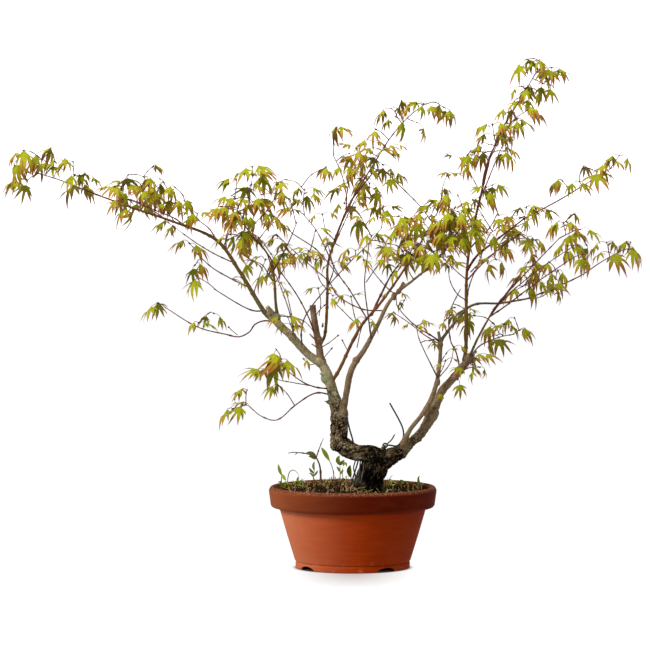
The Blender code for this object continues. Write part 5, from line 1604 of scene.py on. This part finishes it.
def dry_blades(batch, rng):
    """Dry blades all over the soil, then fine upright strands beside the trunk."""
    for _ in range(DRY_BLADES):
        spot = soil_spot(rng, 30 * MM)
        height = rng.uniform(3, 9) * MM
        lean = Vector((rng.uniform(-0.9, 0.9), rng.uniform(-0.9, 0.9), 1)) * height
        middle = spot + lean * 0.5 + Vector((rng.uniform(-1, 1), rng.uniform(-1, 1), 0)) * MM
        tip = spot + lean
        if math.hypot(tip.x, tip.y) < MOUTH:
            side = Vector((rng.uniform(-1, 1), rng.uniform(-1, 1), 0.1)).normalized()
            blade(batch, smooth_path([spot, middle, tip], height / 4),
                  rng.uniform(0.8, 1.6) * MM, side, rng.choice((1, 3, 4, 4, 4)))
    for _ in range(STRANDS):
        spot = Vector((rng.uniform(-42, 4), rng.uniform(2, 52), 0)) * MM
        spot.z = soil_height(spot.x, spot.y)
        lean = Vector((rng.uniform(-0.6, 0.6), rng.uniform(-0.4, 0.4), 1)) * rng.uniform(5, 13) * MM
        middle = spot + lean * 0.5 + Vector((rng.uniform(-1.5, 1.5), 0, 0)) * MM
        blade(batch, smooth_path([spot, middle, spot + lean], lean.length / 4),
              rng.uniform(0.6, 1.1) * MM, Vector((0.2, -1, 0.1)), rng.choice((3, 4, 4, 4, 2)))


def weeds():
    """Small weeds and the seedlings that grow beside the trunk: weeds, stems and leaves."""
    rng = random.Random(11)
    batch = Batch()
    rosettes(batch, rng)
    for knots, (width, tone, _) in zip(seated([row[2] for row in BLADES]), BLADES):
        blade(batch, smooth_path(knots, 1.5 * MM), width * MM, Vector((0.25, -1, 0.3)), tone)
    dry_blades(batch, rng)
    tones = [plain(*row) for row in WEED_TONES]
    stems = Batch()
    leaves = Batch()
    for knots, (base, tip, _) in zip(seated([row[2] for row in SEEDLINGS]), SEEDLINGS):
        path = smooth_path(knots, 2 * MM)
        if tip:
            twig(stems, path, base * MM, tip * MM, 8, (8 * MM, 17 * MM))
        else:
            blade(leaves, path, base * MM, Vector((0.2, -1, 0.3)), 1 if 5 < base < 5.5 else 5)
    bark = [shoot_material(*SEEDLING_BARK)]
    return (batch.make("pot_weeds", tones), stems.make("seedling", bark),
            leaves.make("seedling_leaves", tones))


# Stage


def aim(holder, spot, target):
    """Stands a lamp or camera at the spot, facing the target."""
    holder.location = spot
    holder.rotation_euler = (target - Vector(spot)).to_track_quat("-Z", "Y").to_euler()


def floor_material():
    """White, with a faint painted shadow before the pot and a painted dark contact shadow where the
    pot stands.
    """
    look = Look("floor_white", (0.05, 0.05, 0.05), 0.9, 0.0)
    east, north, _ = look.axes()
    across = look.times(east, 1 / SHADE_WIDTH)
    ahead = look.times(look.math("ADD", north, SHADE_START), 1 / SHADE_DEPTH)
    shade = look.span(look.radius(across, ahead), 0.15, 0.95, 1.0, 0.0)
    glow = look.mix(shade, (1, 1, 1), (0.600, 0.535, 0.510))
    # Painted dark disc under the pot's foot and a thin painted contact shadow just around it
    painted_contact_shadow = look.span(look.radius(east, north), FOOT_RADIUS + 7 * MM, FOOT_RADIUS - 1 * MM)
    painted_contact_shadow = look.times(painted_contact_shadow, painted_contact_shadow)
    glow = look.mix(painted_contact_shadow, glow, (0.030, 0.016, 0.012))
    look.set(look.shader, {"Emission Color": glow, "Emission Strength": 1.0})
    return look.material


def stage():
    """A white floor in a white studio, soft lights and the camera."""
    plate = Batch()
    plate.add([Vector((x * FLOOR, y * FLOOR, 0)) for x, y in ((-1, -1), (1, -1), (1, 1), (-1, 1))],
              [(0, 1, 2, 3)])
    floor = plate.make("floor", [floor_material()], smooth=False)
    white = Look("studio_white", (1, 1, 1), 1.0)
    white.set(white.shader, {"Emission Color": (1, 1, 1), "Emission Strength": 1.0})
    spots, faces = ball(4)
    shell = Batch()
    shell.add([spot * STUDIO_RADIUS for spot in spots], faces)
    studio = shell.make("studio", [white.material])
    for backdrop in (floor, studio):
        backdrop.visible_diffuse = False
        backdrop.visible_shadow = False
    studio.visible_glossy = False

    world = bpy.data.worlds.new("studio")
    bpy.context.scene.world = world
    world.use_nodes = True
    world.node_tree.nodes["Background"].inputs["Color"].default_value = (1, 1, 1, 1)
    world.node_tree.nodes["Background"].inputs["Strength"].default_value = 0.46
    for name, spot, size, power in LAMPS:
        light = bpy.data.lights.new(name, "AREA")
        light.shape = "DISK"
        light.size = size
        light.energy = power
        aim(link(name, light), spot, LAMP_AIM)

    camera = bpy.data.cameras.new("camera")
    camera.sensor_width = SENSOR
    camera.lens = SENSOR * (AIM - EYE).length / VIEW_WIDTH
    camera.clip_start = 0.1
    camera.clip_end = 60
    rig = link("camera", camera)
    aim(rig, EYE, AIM)
    bpy.context.scene.camera = rig
    bpy.context.scene.view_settings.view_transform = "Standard"


def keep(piece, slot, *nodes):
    """Gives a piece its body, and hides the nodes that it replaces. The slot is not used."""
    if nodes:
        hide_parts(*nodes)
    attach(piece, "root")


def foliage():
    """The leaves, stalks and twigs of the crown's three parts."""
    limbs = Space()
    for row in LIMBS.values():
        path, radii = limb_path(*row, 8)
        limbs.add(*tube(path, radii, 8))
    for *_, route, _groups in MASSES:
        limbs.add(*tube(route_path(route, 8), STEM_BASE / 2, 5))
    grown = Space()
    crowns = {side: Crown(limbs, grown) for side in ("left", "centre", "right")}
    for name, side, *mass in MASSES:
        grow_mass(crowns[side], name, *mass)
    for number, shoot in enumerate(SHOOTS):
        end = shoot[-1][-1][0]
        side = "left" if end < LEFT_END else "centre" if end < RIGHT_START else "right"
        grow_shoot(crowns[side], number, *shoot)
    leaf_tones = [plain(f"leaf_tone_{number}", colour, 0.55, 0.08)
                  for number, colour in enumerate(LEAF_COLOURS)]
    stalk_tones = [plain("stalk_red", (0.26, 0.060, 0.035), 0.5),
                   plain("stalk_green", (0.27, 0.22, 0.05), 0.5)]
    twig_tones = [shoot_material(*row) for row in TWIG_TONES]
    for side, crown in crowns.items():
        keep(crown.leaves.make(f"leaves_{side}", leaf_tones), "foliage", *crown.masses)
        keep(crown.stalks.make(f"stalks_{side}", stalk_tones), "foliage")
        keep(crown.twigs.make(f"twigs_{side}", twig_tones), "bark_red")


def main():
    stage()
    keep(old_wood(), "bark", *SKIN)
    keep(young_limbs(), "bark_red", *SLIM)
    keep(wires(), "wire", *WIRES)
    keep(pot(), "terracotta", "pot")
    keep(soil(), "soil", "soil")
    keep(crumbs(), "soil")
    for piece, slot in zip(weeds(), ("foliage", "bark_red", "foliage")):
        keep(piece, slot)
    foliage()


main()
